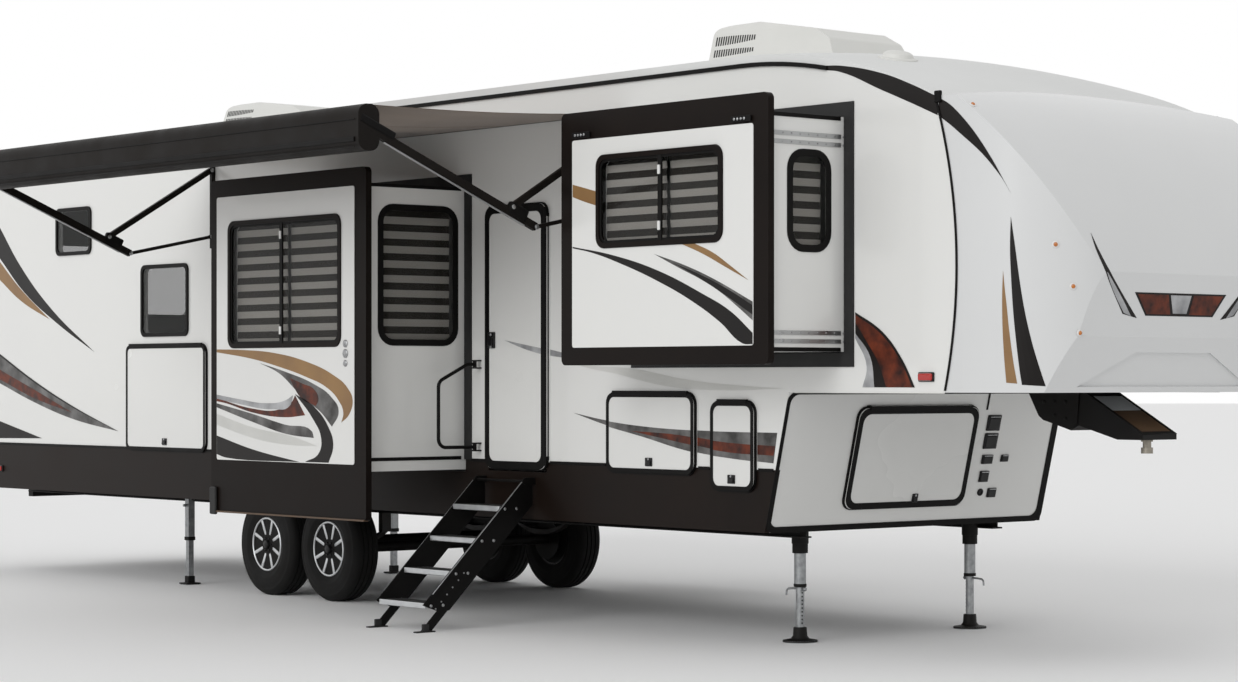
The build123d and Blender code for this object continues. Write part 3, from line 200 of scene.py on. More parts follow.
CLIP = finish("white_nylon_clip", ("#DADAD8", "#E4E4E2"), (0.4, 0.5), (60, 2), 0.04)

# %% [markdown]
# ## Window glass
# Trailer windows are dark tinted safety glass.  A thin tint shows the blinds behind the pane, and its
# gloss mirrors the studio.

# %% Window glass
GLASS = finish("tinted_safety_glass", ("#0A0C0B", "#101311"), (0.02, 0.05), (900, 60), 0.05,
               Alpha=0.28, IOR=1.45, specular=0.3)

# %% [markdown]
# ## Woven finishes
# The awning is a coated acrylic weave and the blinds are banded polyester.  Threads are drawn coarser than the
# real ones, about 4 mm apart, so that they show at all.

# %% Woven finishes
def weave(name, colours, thread_mm, roughness):
    """A cloth with crossing threads on Object coordinates."""
    material = finish(name, colours, (roughness - 0.05, roughness + 0.05), (500, 4))
    tree = material.node_tree
    place = next(n for n in tree.nodes if n.type == "TEX_COORD").outputs["Object"]
    threads = []
    for axis in ("X", "Y", "Z"):
        wave = add(tree, "ShaderNodeTexWave", {"Vector": place, "Scale": 1000 / thread_mm / 20 * pi, "Distortion": 0.3},
                   bands_direction=axis)
        threads.append(wave.outputs["Fac"])
    first = add(tree, "ShaderNodeMath", {0: threads[0], 1: threads[1]}, operation="MULTIPLY")
    both = add(tree, "ShaderNodeMath", {0: first.outputs[0], 1: threads[2]}, operation="ADD")
    relief = add(tree, "ShaderNodeBump", {"Height": both.outputs[0], "Distance": 0.0006, "Strength": 0.5})
    shader = next(n for n in tree.nodes if n.type == "BSDF_PRINCIPLED")
    tree.links.new(relief.outputs["Normal"], shader.inputs["Normal"])
    shader.inputs["Sheen Weight"].default_value = 0.2
    return material


AWNING_CLOTH = weave("coated_acrylic_awning_weave", ("#6B5B4E", "#7B6A5B"), 4, 0.8)
BLIND_PALE = weave("sheer_polyester_blind", ("#E8E3DA", "#F2EEE6"), 4, 0.75)
BLIND_DARK = weave("opaque_polyester_blind", ("#38332E", "#443E38"), 4, 0.8)

# %% [markdown]
# ## Vinyl stripes
# The swooshes are printed vinyl on the walls: flat black, tan and silver, and a red-brown with a mottled print.

# %% Vinyl
VINYL_BLACK = finish("black_vinyl", ("#0F0C0B", "#171210"), (0.32, 0.42), (400, 5), 0.03, specular=0.2)
VINYL_TAN = finish("tan_vinyl", ("#7D5A30", "#94703F"), (0.3, 0.4), (300, 5), 0.03)
VINYL_BROWN = finish("red_brown_vinyl", ("#240B06", "#6B2C14"), (0.32, 0.42), (90, 5), 0.03, spread=0.35, specular=0.25)
VINYL_SILVER = finish("silver_vinyl", ("#77787A", "#B9BABC"), (0.3, 0.42), (160, 5), 0.03, spread=0.4)
VINYL_PALE = finish("pale_grey_vinyl", ("#C3C3BF", "#D2D2CE"), (0.3, 0.42), (500, 5), 0.03)
VINYL_SMOKE = finish("smoke_grey_vinyl", ("#2A2826", "#777675"), (0.32, 0.42), (160, 5), 0.03, spread=0.4,
                     specular=0.25)

# %% [markdown]
# ## Finishes on the frame's own parts
# A part of the frame whose shape is already right only needs its finish.

# %% Finishes on the frame
PART_FINISH = {
    "wall": WALL, "front_cap": CAP, "basement_front": WALL, "entry_door": WALL, "front_hatch": WALL,
    "rear_hatch": WALL, "storage_door": WALL, "box": WALL, "skirt": SKIRT, "fascia": FASCIA, "roof": ROOFING,
    "floor": BOARD, "deck": BOARD, "step_bulkhead": BOARD, "frames": FRAME_BLACK, "glass": GLASS,
    "seals": SEAL, "rail": CHASSIS, "cross_members": CHASSIS, "bumper": CHASSIS, "axles": CHASSIS,
    "leaf_springs": SPRING_STEEL, "landing_legs": ZINC, "stabilisers": ZINC, "pin_box": CHASSIS, "kingpin": GREASED,
    "awning_arms": CANOPY_METAL, "awning_roller": CANOPY_METAL, "awning_fabric": AWNING_CLOTH,
    "conditioner": SHROUD, "tail_lamps": RED_LENS, "step_sides": FRAME_BLACK, "step_treads": TREAD_METAL,
    "step_brackets": FRAME_BLACK, "grab_handle": FRAME_BLACK, "handle_brackets": FRAME_BLACK, "tyre": TYRE,
    "rim": RIM_PAINT,
}
for node_name, part in NODES.items():
    words = [w for w in PART_FINISH if w in node_name]
    best = max(words, key=len)
    part.data.materials.clear()
    part.data.materials.append(PART_FINISH[best])
print("finished", len(NODES), "parts of the frame")

# %% [markdown]
# ## Dressing a piece
# Every new piece ends the same way: it gets its finish and rides the body it is fixed to.  Its place is applied to its
# mesh, so its object stays at the origin as the frame's parts do.

# %% Dressing helper
def pick(*pieces):
    """Selects only these pieces; the first becomes the active one."""
    bpy.ops.object.select_all(action="DESELECT")
    for piece in pieces:
        piece.select_set(True)
    bpy.context.view_layer.objects.active = pieces[0]


def fresh(name, primitive, **settings):
    """Adds a primitive of its own name, with nothing else selected."""
    bpy.ops.object.select_all(action="DESELECT")
    primitive(**settings)
    piece = bpy.context.object
    piece.name = name
    return piece


def thicken(piece, thickness, offset=-1):
    """Gives a sheet its thickness."""
    body = piece.modifiers.new("thickness", "SOLIDIFY")
    body.thickness, body.offset = thickness, offset
    bpy.ops.object.modifier_apply(modifier="thickness")


def dress(piece, materials, body="trailer", smooth=0):
    """Applies a piece's place, gives it its finishes, and fixes it to a body."""
    piece.name = piece.name.replace(" ", "_")
    pick(piece)
    bpy.ops.object.transform_apply(location=True, rotation=True, scale=True)
    if smooth:
        bpy.ops.object.shade_smooth_by_angle(angle=radians(smooth))
    piece.data.materials.clear()
    for material in materials if isinstance(materials, list) else [materials]:
        piece.data.materials.append(material)
    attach(piece, body)
    return piece


def join(name, pieces):
    """Joins pieces into one mesh with one name."""
    pick(*pieces)
    if len(pieces) > 1:
        bpy.ops.object.join()
    pieces[0].name = name.replace(" ", "_")
    return pieces[0]


def fit(name, pieces, materials, body="trailer", smooth=0):
    """Joins pieces and dresses them as one."""
    return dress(join(name, pieces), materials, body, smooth)


print("dressing helper ready")

# %% [markdown]
# ## Flat pieces
# Stripes, panels and trims are all cut from sheet.  Each is drawn as a closed outline on a drawing plane, where u
# runs right and v up as seen from outside.  An outline drawn inside another becomes a hole.  GAP is the sliver of air
# that keeps a sheet's back off what it lies on.

# %% Drawing planes and outlines
def plane(origin, right, up):
    """A drawing plane: local x to the right, local y up, local z out of the surface."""
    right, up = Vector(right).normalized(), Vector(up).normalized()
    turn = Matrix((right, up, right.cross(up))).transposed().to_4x4()
    return Matrix.Translation(origin) @ turn


def shifted(where, x, y, z=0.0):
    """A place moved along its own axes."""
    return where @ Matrix.Translation((x, y, z))


def side_plane(side, distance):
    """A drawing plane on one side of the trailer; u is X on the door side and -X on the off side."""
    return plane(at(0, side * distance, 0), (-side, 0, 0), (0, 0, 1))


def flip(side, x0, x1, *heights):
    """A box along X as a box along u on one side."""
    return ((x0, x1) if side < 0 else (-x1, -x0)) + heights


def as_uv(side, edge):
    """Places given as X and Z, as u and v on one side."""
    return [(x * -side, z) for x, z in edge]


def rounded(u0, u1, v0, v1, radius, inset=0.0):
    """A rectangle with round corners, as an outline; inset draws all four of its sides in."""
    u0, u1, v0, v1 = u0 + inset, u1 - inset, v0 + inset, v1 - inset
    points = []
    for u, v, start in ((u1 - radius, v1 - radius, 0), (u0 + radius, v1 - radius, 90),
                        (u0 + radius, v0 + radius, 180), (u1 - radius, v0 + radius, 270)):
        for i in range(7):
            turn = radians(start + 15 * i)
            points.append((u + radius * cos(turn), v + radius * sin(turn), "VECTOR"))
    return points


def swoosh(upper, lower):
    """A stripe between two edges, both given from left to right, with sharp ends and smooth sides."""
    points = []
    for edge in (upper, lower[::-1]):
        for i, (u, v) in enumerate(edge):
            kind = "VECTOR" if i in (0, len(edge) - 1) else "AUTO"
            if not points or hypot(u - points[-1][0], v - points[-1][1]) > 0.002:
                points.append((u, v, kind))
    if hypot(points[0][0] - points[-1][0], points[0][1] - points[-1][1]) < 0.002:
        points.pop()
    return points


def sharp(*points):
    """An outline with straight sides."""
    return [(u, v, "VECTOR") for u, v in points]


DOOR_SIDE = side_plane(-1, HALF)
GAP = 0.0004
print("drawing planes ready")

# %% [markdown]
# A flat Bezier curve fills itself, so it is the quickest way to cut a shape with smooth edges and holes.  It is
# turned into a mesh before it takes its place on the trailer.

# %% Cutting a flat piece
WELD = 0.00005


def cut(name, outlines, where, lift, thick, span=None):
    """A sheet piece of the given outlines, its back lifted off a drawing plane; span trims it along u."""
    drawing = fresh(name, bpy.ops.curve.primitive_bezier_curve_add, location=(0, 0, 0)).data
    drawing.dimensions = "2D"
    drawing.fill_mode = "BOTH"
    drawing.extrude = thick / 2
    drawing.resolution_u = 6
    drawing.splines.clear()
    for outline in outlines:
        spline = drawing.splines.new("BEZIER")
        spline.bezier_points.add(len(outline) - 1)
        spline.use_cyclic_u = True
        for knot, (u, v, kind) in zip(spline.bezier_points, outline):
            knot.co = (u, v, 0)
            knot.handle_left_type = knot.handle_right_type = kind
    bpy.ops.object.convert(target="MESH")
    piece = bpy.context.object
    bpy.ops.object.mode_set(mode="EDIT")
    bpy.ops.mesh.select_all(action="SELECT")
    bpy.ops.mesh.remove_doubles(threshold=WELD)
    if span:
        for u, side in ((span[0], True), (span[1], False)):
            bpy.ops.mesh.select_all(action="SELECT")
            bpy.ops.mesh.bisect(plane_co=(u, 0, 0), plane_no=(1, 0, 0), use_fill=True,
                                clear_inner=side, clear_outer=not side)
    bpy.ops.mesh.select_all(action="SELECT")
    bpy.ops.mesh.normals_make_consistent(inside=False)
    bpy.ops.object.mode_set(mode="OBJECT")
    piece.matrix_world = shifted(where, 0, 0, lift + thick / 2)
    return piece


print("cutting helper ready")

# %% [markdown]
# ## Slide-out faces
# Each room that slides out has a dark moulded surround and a white panel set inside it.  The panel is one sheet
# with a hole for the window, so its edge throws a fine shadow line all round.

# %% Slide panels
LIVING_FACE = (2.070, (0.004, 1.811, 1.077, 2.970), (0.170, 1.650, 1.880, 2.790), 0.885)
SLIDE_FACES = {
    # body: side, reach, panel x0, x1, z0, z1, window x0, x1, z0, z1, x of the middle bar
    "mid_slide": (-1, *LIVING_FACE),
    "off_side_slide": (1, *LIVING_FACE),
    "bedroom_slide": (-1, 1.840, (3.947, 5.694, 1.855, 3.156), (4.200, 5.420, 2.470, 3.050), 4.829),
}
PANEL_THICK = 0.004


def face_plane(body):
    """The drawing plane on a room's face."""
    return side_plane(*SLIDE_FACES[body][:2])


for body, (side, _, panel, window, _) in SLIDE_FACES.items():
    outlines = [rounded(*flip(side, *panel), 0.018), rounded(*flip(side, *window), 0.077, -0.002)]
    sheet = cut(f"{body} white panel", outlines, face_plane(body), 0.0, PANEL_THICK)
    dress(sheet, WALL, body)
print("slide panels", len(SLIDE_FACES))

# %% [markdown]
# ## Window bars
# The big windows slide sideways: two sashes meet at a bar off the middle, and one sash lies deeper than the
# other.  Small white clips hold the sash.

# %% Window bars
SASH_INSET, SASH_WIDTH = 0.03, 0.016
for body, (side, _, _, window, post_x) in SLIDE_FACES.items():
    where = face_plane(body)
    hole = flip(side, *window)
    middle = post_x * -side
    v0, v1 = window[2:]
    sash = cut("sash", [rounded(*hole, 0.06, SASH_INSET), rounded(*hole, 0.046, SASH_INSET + SASH_WIDTH)],
               where, -0.001, 0.008)
    post = cut("post", [rounded(middle - 0.017, middle + 0.017, v0 + SASH_INSET, v1 - SASH_INSET, 0.004)],
               where, -0.001, 0.012)
    fit(f"{body} window sash", [sash, post], FRAME_BLACK, body)
    catches = [cut("catch", [rounded(middle - 0.011, middle + 0.011, v - 0.028, v + 0.028, 0.006)],
                   where, 0.011, 0.008) for v in (v0 + 0.12, v1 - 0.12)]
    fit(f"{body} window catches", catches, CLIP, body)
print("window bars done")

# %% [markdown]
# ## Banded blinds
# Behind the big windows hang day-and-night blinds: stripes of sheer and opaque cloth that line up in alternate
# bands.  Each is modelled as one pleated sheet of stiff strips, a hand's breadth behind the glass.

# %% Blinds
BAND_PITCH, BLIND_INSET, PLEAT, CLOTH_THICK = 0.10, 0.02, 0.006, 0.0008


def blind(name, where, u0, u1, v0, v1, depth, body):
    """A blind of alternate sheer and opaque bands, inside a window's height."""
    bands = round((v1 - v0) / BAND_PITCH)
    v0, v1 = v0 + BLIND_INSET, v1 - BLIND_INSET
    piece = fresh(name, bpy.ops.mesh.primitive_grid_add, x_subdivisions=1, y_subdivisions=2 * bands, size=1,
                  location=((u0 + u1) / 2, (v0 + v1) / 2, 0))
    piece.scale = (u1 - u0, v1 - v0, 1)
    bpy.ops.object.transform_apply(location=True, rotation=True, scale=True)
    row_height = (v1 - v0) / 2 / bands
    for face in piece.data.polygons:
        face.material_index = int((face.center.y - v0) / row_height) % 2
    for vertex in piece.data.vertices:
        vertex.co.z += PLEAT * (round((vertex.co.y - v0) / row_height) % 2)
    piece.matrix_world = shifted(where, 0, 0, -depth)
    thicken(piece, CLOTH_THICK)
    indices = [p.material_index for p in piece.data.polygons]
    dress(piece, [BLIND_PALE, BLIND_DARK], body)
    piece.data.polygons.foreach_set("material_index", indices)
    return piece


for body, (side, _, _, window, post_x) in SLIDE_FACES.items():
    where = face_plane(body)
    u0, u1, v0, v1 = flip(side, *window)
    middle = post_x * -side
    pair = [blind("blind", where, u0 + BLIND_INSET, middle - 0.004, v0, v1, 0.055, body),
            blind("blind", where, middle + 0.004, u1 - BLIND_INSET, v0, v1, 0.075, body)]
    join(f"{body} banded blinds", pair)
print("blinds hung")

# %% [markdown]
# ## Vinyl stripes on the wall
# The stripes are printed vinyl, so they are very thin sheets with smooth edges and needle-sharp tips.  A stripe
# that runs over a lid or a door is cut there, and the cut piece rides on that lid.  Stripes that overlap lie at
# different heights.

# %% Stripes on the door side
VINYL_THICK, STRIPE_STEP, LAYER_STEP = 0.0004, 0.0002, 0.0006
FRONT_ARC = [(5.9, 1.993), (5.997, 1.883), (6.1, 1.754), (6.168, 1.609)]
FRONT_CORE = [(5.9, 1.93), (6.031, 1.789), (6.066, 1.609)]
WALL_STRIPES = [
    # name, finish, upper edge and lower edge as (X, Z)
    ("upper black", VINYL_BLACK,
     [(-5.29, 3.117), (-5.145, 2.986), (-4.756, 2.636), (-4.189, 2.254), (-3.433, 1.883)],
     [(-5.29, 2.81), (-5.144, 2.715), (-4.692, 2.411), (-4.097, 2.135), (-3.433, 1.883)]),
    ("upper tan", VINYL_TAN,
     [(-5.29, 2.778), (-5.144, 2.685), (-4.788, 2.458), (-4.22, 2.166)],
     [(-5.29, 2.598), (-5.144, 2.527), (-4.756, 2.338), (-4.22, 2.166)]),
    ("lower silver", VINYL_SMOKE,
     [(-5.29, 1.925), (-5.144, 1.872), (-4.501, 1.639), (-3.791, 1.422), (-3.024, 1.23)],
     [(-5.29, 1.66), (-5.143, 1.623), (-4.501, 1.461), (-3.791, 1.321), (-3.024, 1.23)]),
    ("lower brown", VINYL_BROWN,
     [(-5.29, 1.79), (-5.144, 1.744), (-4.501, 1.569), (-3.821, 1.378)],
     [(-5.29, 1.69), (-5.143, 1.656), (-4.501, 1.496), (-3.821, 1.378)]),
    ("rear wedge", VINYL_BLACK,
     [(-5.29, 1.318), (-5.143, 1.292), (-4.787, 1.229), (-4.359, 1.153)], [(-5.29, 1.141), (-4.359, 1.153)]),
    ("pale line", VINYL_PALE,
     [(3.0, 1.79), (3.231, 1.755), (3.781, 1.724), (4.366, 1.65), (4.833, 1.618), (5.247, 1.6)],
     [(3.0, 1.79), (3.231, 1.742), (3.58, 1.695), (4.096, 1.615), (4.648, 1.588), (5.247, 1.6)]),
    ("front brown", VINYL_BROWN, [(5.9, 2.048), (6.134, 1.928), (6.302, 1.764), (6.402, 1.609)], FRONT_ARC),
    ("front black", VINYL_BLACK, FRONT_ARC, FRONT_CORE),
    ("front silver", VINYL_SILVER, FRONT_CORE, [(5.9, 1.90), (6.0, 1.731), (5.963, 1.609)]),
    ("front edge", VINYL_BLACK,
     [(5.9, 2.055), (6.137, 1.935), (6.308, 1.768), (6.411, 1.609)],
     [(5.9, 2.040), (6.128, 1.920), (6.294, 1.758), (6.390, 1.609)]),
    ("lower edge", VINYL_BLACK,
     [(-5.29, 1.935), (-5.144, 1.881), (-4.501, 1.646), (-3.791, 1.427), (-3.024, 1.23)],
     [(-5.29, 1.915), (-5.144, 1.863), (-4.501, 1.630), (-3.791, 1.415), (-3.024, 1.23)]),
]


def stripe(name, vinyl, upper, lower, side, distance, lift, body="trailer"):
    """Lays a stripe on one side of the trailer; on the off side u runs the other way."""
    edges = [as_uv(side, edge) for edge in (upper, lower)]
    dress(cut(name, [swoosh(*edges)], side_plane(side, distance), GAP + lift, VINYL_THICK), vinyl, body)


for number, (name, *looks) in enumerate(WALL_STRIPES):
    stripe(f"{name} stripe", *looks, -1, HALF, STRIPE_STEP * number)
print("wall stripes", len(WALL_STRIPES))

# %% Stripes across the lids and the entry door
LEAF_FACE = 0.021
CUT_STRIPES = [
    ("low swoosh", VINYL_SMOKE, [(3.137, 1.434), (3.499, 1.387), (3.979, 1.349), (4.555, 1.332), (5.194, 1.329)],
     [(3.137, 1.434), (3.499, 1.355), (3.9, 1.286), (4.366, 1.202), (4.741, 1.167), (5.159, 1.141)]),
    ("low brown", VINYL_BROWN, [(3.781, 1.322), (4.174, 1.309), (4.741, 1.263), (5.176, 1.247)],
     [(3.781, 1.322), (4.077, 1.283), (4.366, 1.245), (4.741, 1.203), (5.159, 1.188)]),
    ("door line", VINYL_SILVER, [(2.381, 1.924), (2.634, 1.889), (2.978, 1.841), (3.2, 1.80)],
     [(2.381, 1.924), (2.656, 1.854), (2.978, 1.805), (3.2, 1.80)]),
]
CUTS = [
    # body, lift, u0, u1
    ("trailer", 0.0, 2.880, 3.504), ("trailer", 0.0, 4.426, 4.566), ("trailer", 0.0, 5.007, 5.3),
    ("rear_storage_door", LEAF_FACE, 3.520, 4.410), ("front_storage_door", LEAF_FACE, 4.582, 4.991),
    ("entry_door", LEAF_FACE, 2.2, 2.835),
]
count = 0
for number, (name, vinyl, upper, lower) in enumerate(CUT_STRIPES):
    for body, lift, u0, u1 in CUTS:
        if u1 <= upper[0][0] or u0 >= upper[-1][0]:
            continue
        strip = cut(f"{name} on {body}", [swoosh(upper, lower)], DOOR_SIDE, lift + 0.0006 + 0.0003 * number,
                    VINYL_THICK, span=(u0, u1))
        if strip.data.polygons:
            dress(strip, vinyl, body)
            count += 1
print("stripes cut at lids", count)

# %% [markdown]
# ## Vinyl stripes on the slide faces
# The faces of the rooms carry the same family of curves: a tan arc, a dark hook and mottled brown leaves.

# %% Stripes on the slides
SLIDE_STRIPES = [
    # body, name, layer, finish, upper edge, lower edge
    ("mid_slide", "tan arc", 0, VINYL_TAN,
     [(0.006, 1.873), (0.376, 1.866), (0.791, 1.842), (1.211, 1.779), (1.552, 1.686), (1.736, 1.594),
      (1.794, 1.513), (1.753, 1.421), (1.653, 1.361)],
     [(0.006, 1.852), (0.503, 1.801), (0.862, 1.743), (1.212, 1.672), (1.485, 1.594), (1.619, 1.512),
      (1.678, 1.43), (1.653, 1.361)]),
    ("mid_slide", "silver leaf", 0, VINYL_SMOKE,
     [(0.594, 1.772), (0.933, 1.71), (1.315, 1.621), (1.535, 1.53), (1.62, 1.439), (1.536, 1.332)],
     [(0.594, 1.772), (0.862, 1.696), (1.038, 1.602), (1.177, 1.519), (1.383, 1.437), (1.536, 1.332)]),
    ("mid_slide", "brown leaf", 1, VINYL_BROWN,
     [(1.0, 1.665), (1.17, 1.625), (1.315, 1.584), (1.366, 1.52), (1.332, 1.473)],
     [(1.0, 1.665), (1.05, 1.602), (1.142, 1.528), (1.332, 1.473)]),
    ("mid_slide", "brown band", 0, VINYL_BROWN,
     [(0.006, 1.522), (0.504, 1.448), (0.862, 1.446), (1.021, 1.499), (1.064, 1.546)],
     [(0.006, 1.498), (0.136, 1.484), (0.504, 1.42), (0.933, 1.391), (1.194, 1.407)]),
    ("mid_slide", "silver band", 1, VINYL_SILVER,
     [(0.006, 1.546), (0.321, 1.514), (0.684, 1.488), (0.933, 1.508), (1.038, 1.546)],
     [(0.006, 1.517), (0.321, 1.48), (0.791, 1.446), (1.0, 1.475), (1.038, 1.546)]),
    ("mid_slide", "low silver band", 0, VINYL_SMOKE,
     [(0.006, 1.483), (0.504, 1.41), (0.933, 1.339), (1.281, 1.297), (1.306, 1.251)],
     [(0.006, 1.454), (0.504, 1.353), (0.951, 1.274), (1.306, 1.251)]),
    ("mid_slide", "black hook", 1, VINYL_BLACK,
     [(1.064, 1.555), (1.315, 1.464), (1.485, 1.336), (1.553, 1.209), (1.494, 1.084)],
     [(1.064, 1.555), (1.298, 1.38), (1.4, 1.252), (1.383, 1.16), (1.195, 1.084)]),
    ("mid_slide", "black wedge", 0, VINYL_BLACK,
     [(0.006, 1.25), (0.504, 1.158), (1.125, 1.081)], [(0.006, 1.115), (0.136, 1.093), (1.125, 1.081)]),
    ("mid_slide", "pale band", 0, VINYL_PALE,
     [(0.006, 1.406), (0.504, 1.315), (1.038, 1.256), (1.349, 1.196)],
     [(0.006, 1.328), (0.504, 1.239), (0.951, 1.199), (1.349, 1.196)]),
    ("bedroom_slide", "short tan", 0, VINYL_TAN,
     [(3.953, 2.88), (4.073, 2.854), (4.197, 2.826)], [(3.953, 2.802), (4.073, 2.768), (4.197, 2.738)]),
    ("bedroom_slide", "tan arc", 0, VINYL_TAN,
     [(5.16, 2.468), (5.327, 2.41), (5.492, 2.325), (5.653, 2.237)],
     [(5.04, 2.468), (5.228, 2.407), (5.443, 2.321), (5.653, 2.237)]),
    ("bedroom_slide", "black arc", 0, VINYL_BLACK,
     [(3.953, 2.489), (4.363, 2.424), (4.803, 2.318), (5.228, 2.168), (5.492, 2.057), (5.69, 1.928)],
     [(3.953, 2.480), (4.146, 2.447), (4.453, 2.366), (4.821, 2.247), (5.127, 2.127), (5.394, 1.995),
      (5.597, 1.868), (5.69, 1.862)]),
    ("bedroom_slide", "silver spike", 0, VINYL_SMOKE,
     [(4.769, 2.419), (5.06, 2.343), (5.327, 2.256), (5.69, 2.111)],
     [(4.769, 2.419), (4.992, 2.334), (5.228, 2.248), (5.393, 2.175), (5.557, 2.082), (5.69, 2.001)]),
    ("bedroom_slide", "spike shadow", 1, VINYL_BLACK,
     [(4.95, 2.36), (5.2, 2.285), (5.45, 2.195), (5.69, 2.09)],
     [(4.95, 2.36), (5.2, 2.262), (5.45, 2.15), (5.69, 2.035)]),
]
for body, name, layer, *looks in SLIDE_STRIPES:
    stripe(f"{body} {name}", *looks, *SLIDE_FACES[body][:2], PANEL_THICK + LAYER_STEP * layer, body)
print("slide stripes", len(SLIDE_STRIPES))

# %% [markdown]
# ## Blocks, turned parts and copies
# Much of the hardware is small blocks with eased edges and parts turned on a lathe.  A block starts as a cube that
# is sized and bevelled.  A turned part starts as a disc that is drawn up ring by ring, as its profile says.

# %% Blocks, turned parts and rods
def along(place, direction, right=None):
    """A place whose local z points along a direction, and local x as near as can be to another."""
    out = Vector(direction).normalized()
    side = Vector(right) if right else out.orthogonal()
    side = (side - out * side.dot(out)).normalized()
    return Matrix.Translation(place) @ Matrix((side, out.cross(side), out)).transposed().to_4x4()


def block(name, where, size, bevel=0.003):
    """A block with eased edges, centred on a place."""
    piece = fresh(name, bpy.ops.mesh.primitive_cube_add, size=1, location=(0, 0, 0))
    piece.scale = size
    bpy.ops.object.transform_apply(location=False, rotation=False, scale=True)
    bpy.ops.object.mode_set(mode="EDIT")
    bpy.ops.mesh.select_all(action="SELECT")
    bpy.ops.mesh.bevel(offset=min(bevel, 0.45 * min(size)), segments=2, affect="EDGES")
    bpy.ops.object.mode_set(mode="OBJECT")
    piece.matrix_world = where if isinstance(where, Matrix) else Matrix.Translation(where)
    return piece


def turned(name, where, profile, sides=20):
    """A turned part: rings of (radius, height), drawn up one after another along local z."""
    radius, height = profile[0]
    piece = fresh(name, bpy.ops.mesh.primitive_circle_add, vertices=sides, radius=radius, fill_type="NGON",
                  location=(0, 0, height))
    bpy.ops.object.transform_apply(location=True, rotation=False, scale=False)
    bpy.ops.object.mode_set(mode="EDIT")
    bpy.ops.mesh.select_all(action="SELECT")
    for new_radius, new_height in profile[1:]:
        bpy.ops.mesh.extrude_region_move(TRANSFORM_OT_translate={"value": (0, 0, new_height - height)})
        bpy.ops.transform.resize(value=(new_radius / radius, new_radius / radius, 1))
        radius, height = new_radius, new_height
    bpy.ops.mesh.select_all(action="SELECT")
    bpy.ops.mesh.normals_make_consistent(inside=False)
    bpy.ops.object.mode_set(mode="OBJECT")
    piece.matrix_world = where
    return piece


def rod(name, start, end, radius, sides=14):
    """A round bar with eased ends between two places."""
    start, end = Vector(start), Vector(end)
    length = (end - start).length
    ease = 0.2 * radius
    return turned(name, along(start, end - start), [(radius - ease, 0), (radius, ease), (radius, length - ease),
                                                    (radius - ease, length)], sides)


def bar(name, start, end, width, depth, facing, bevel=0.003):
    """A rectangular bar between two places; its width lies along facing."""
    start, end = Vector(start), Vector(end)
    return block(name, along((start + end) / 2, end - start, facing), (width, depth, (end - start).length), bevel)


def copies(piece, places):
    """Copies of a piece modelled at the origin, each with its own mesh; the first piece is used up."""
    made = []
    for where in places:
        pick(piece)
        bpy.ops.object.duplicate(linked=False)
        twin = bpy.context.object
        twin.matrix_world = where
        made.append(twin)
    pick(piece)
    bpy.ops.object.delete()
    return made


STAINLESS = finish("stainless_screw_steel", ("#8E8F90", "#B4B5B6"), (0.25, 0.4), (20, 2), 0.02, Metallic=1.0)


def screws(name, places, radius, body, material=STAINLESS):
    """Pan-head screws, modelled once and copied; each stands on its place along local z."""
    one = turned("screw", Matrix.Identity(4), [(radius, 0), (radius, 0.3 * radius), (0.7 * radius, 0.55 * radius),
                                               (0.25 * radius, 0.6 * radius)], 8)
    return fit(name, copies(one, places), material, body, smooth=40)


print("hardware helpers ready")

# %% [markdown]
# ## Sheets on the moulded nose
# The nose curves both ways, so its vinyl can't be cut flat.  Each sheet is a grid between two edges, and each of
# its points is pushed on to the nose from outside, as a fitter lays wet vinyl.

# %% Draped sheets
CAP_NODE = NODES["front_cap"]


def on_path(points, t):
    """A place along a smooth path through points, with t from 0 to 1."""
    i = min(int(t * (len(points) - 1)), len(points) - 2)
    f = t * (len(points) - 1) - i
    a, b = points[i], points[i + 1]
    before = points[i - 1] if i else 2 * a - b
    after = points[i + 2] if i + 2 < len(points) else 2 * b - a
    return 0.5 * (2 * a + (b - before) * f + (2 * before - 5 * a + 4 * b - after) * f ** 2
                  + (3 * a - before - 3 * b + after) * f ** 3)


def onto(target, point, direction):
    """The place and the outward direction where a point meets a surface, coming from outside."""
    hit, place, normal, _ = target.ray_cast(point - 0.5 * direction, direction)
    if not hit:
        _, place, normal, _ = target.closest_point_on_mesh(point)
    return place, normal


def drape(name, first, second, direction, lift, thick, rows=24, across=4):
    """A thin sheet between two edges, laid on the nose from one direction."""
    piece = fresh(name, bpy.ops.mesh.primitive_grid_add, x_subdivisions=across, y_subdivisions=rows, size=1)
    for vertex in piece.data.vertices:
        point = on_path(first, vertex.co.y + 0.5).lerp(on_path(second, vertex.co.y + 0.5), vertex.co.x + 0.5)
        place, normal = onto(CAP_NODE, point, direction)
        vertex.co = place + normal * lift
    thicken(piece, thick, 0)
    bpy.ops.object.mode_set(mode="EDIT")
    bpy.ops.mesh.select_all(action="SELECT")
    bpy.ops.mesh.remove_doubles(threshold=WELD)
    bpy.ops.mesh.normals_make_consistent(inside=False)
    bpy.ops.object.mode_set(mode="OBJECT")
    return piece


def side_view(points, side):
    """Places seen from the side, as X and Z, a little outside the wall."""
    return [at(x, side * (HALF + 0.05), z) for x, z in points]


def front_view(points, side=1):
    """Places seen from the front, as Y and Z, a little before the nose."""
    return [at(7.45, side * y, z) for y, z in points]


INWARDS = {-1: Vector((0, 1, 0)), 1: Vector((0, -1, 0))}
BACKWARDS = Vector((-1, 0, 0))
print("draping ready")

# %% [markdown]
# ## Gutter and nose blade
# A black extruded gutter covers the joint of wall and roof and follows the roof down at the front.  There it widens
# into a painted blade that sweeps over the seam on to the nose.

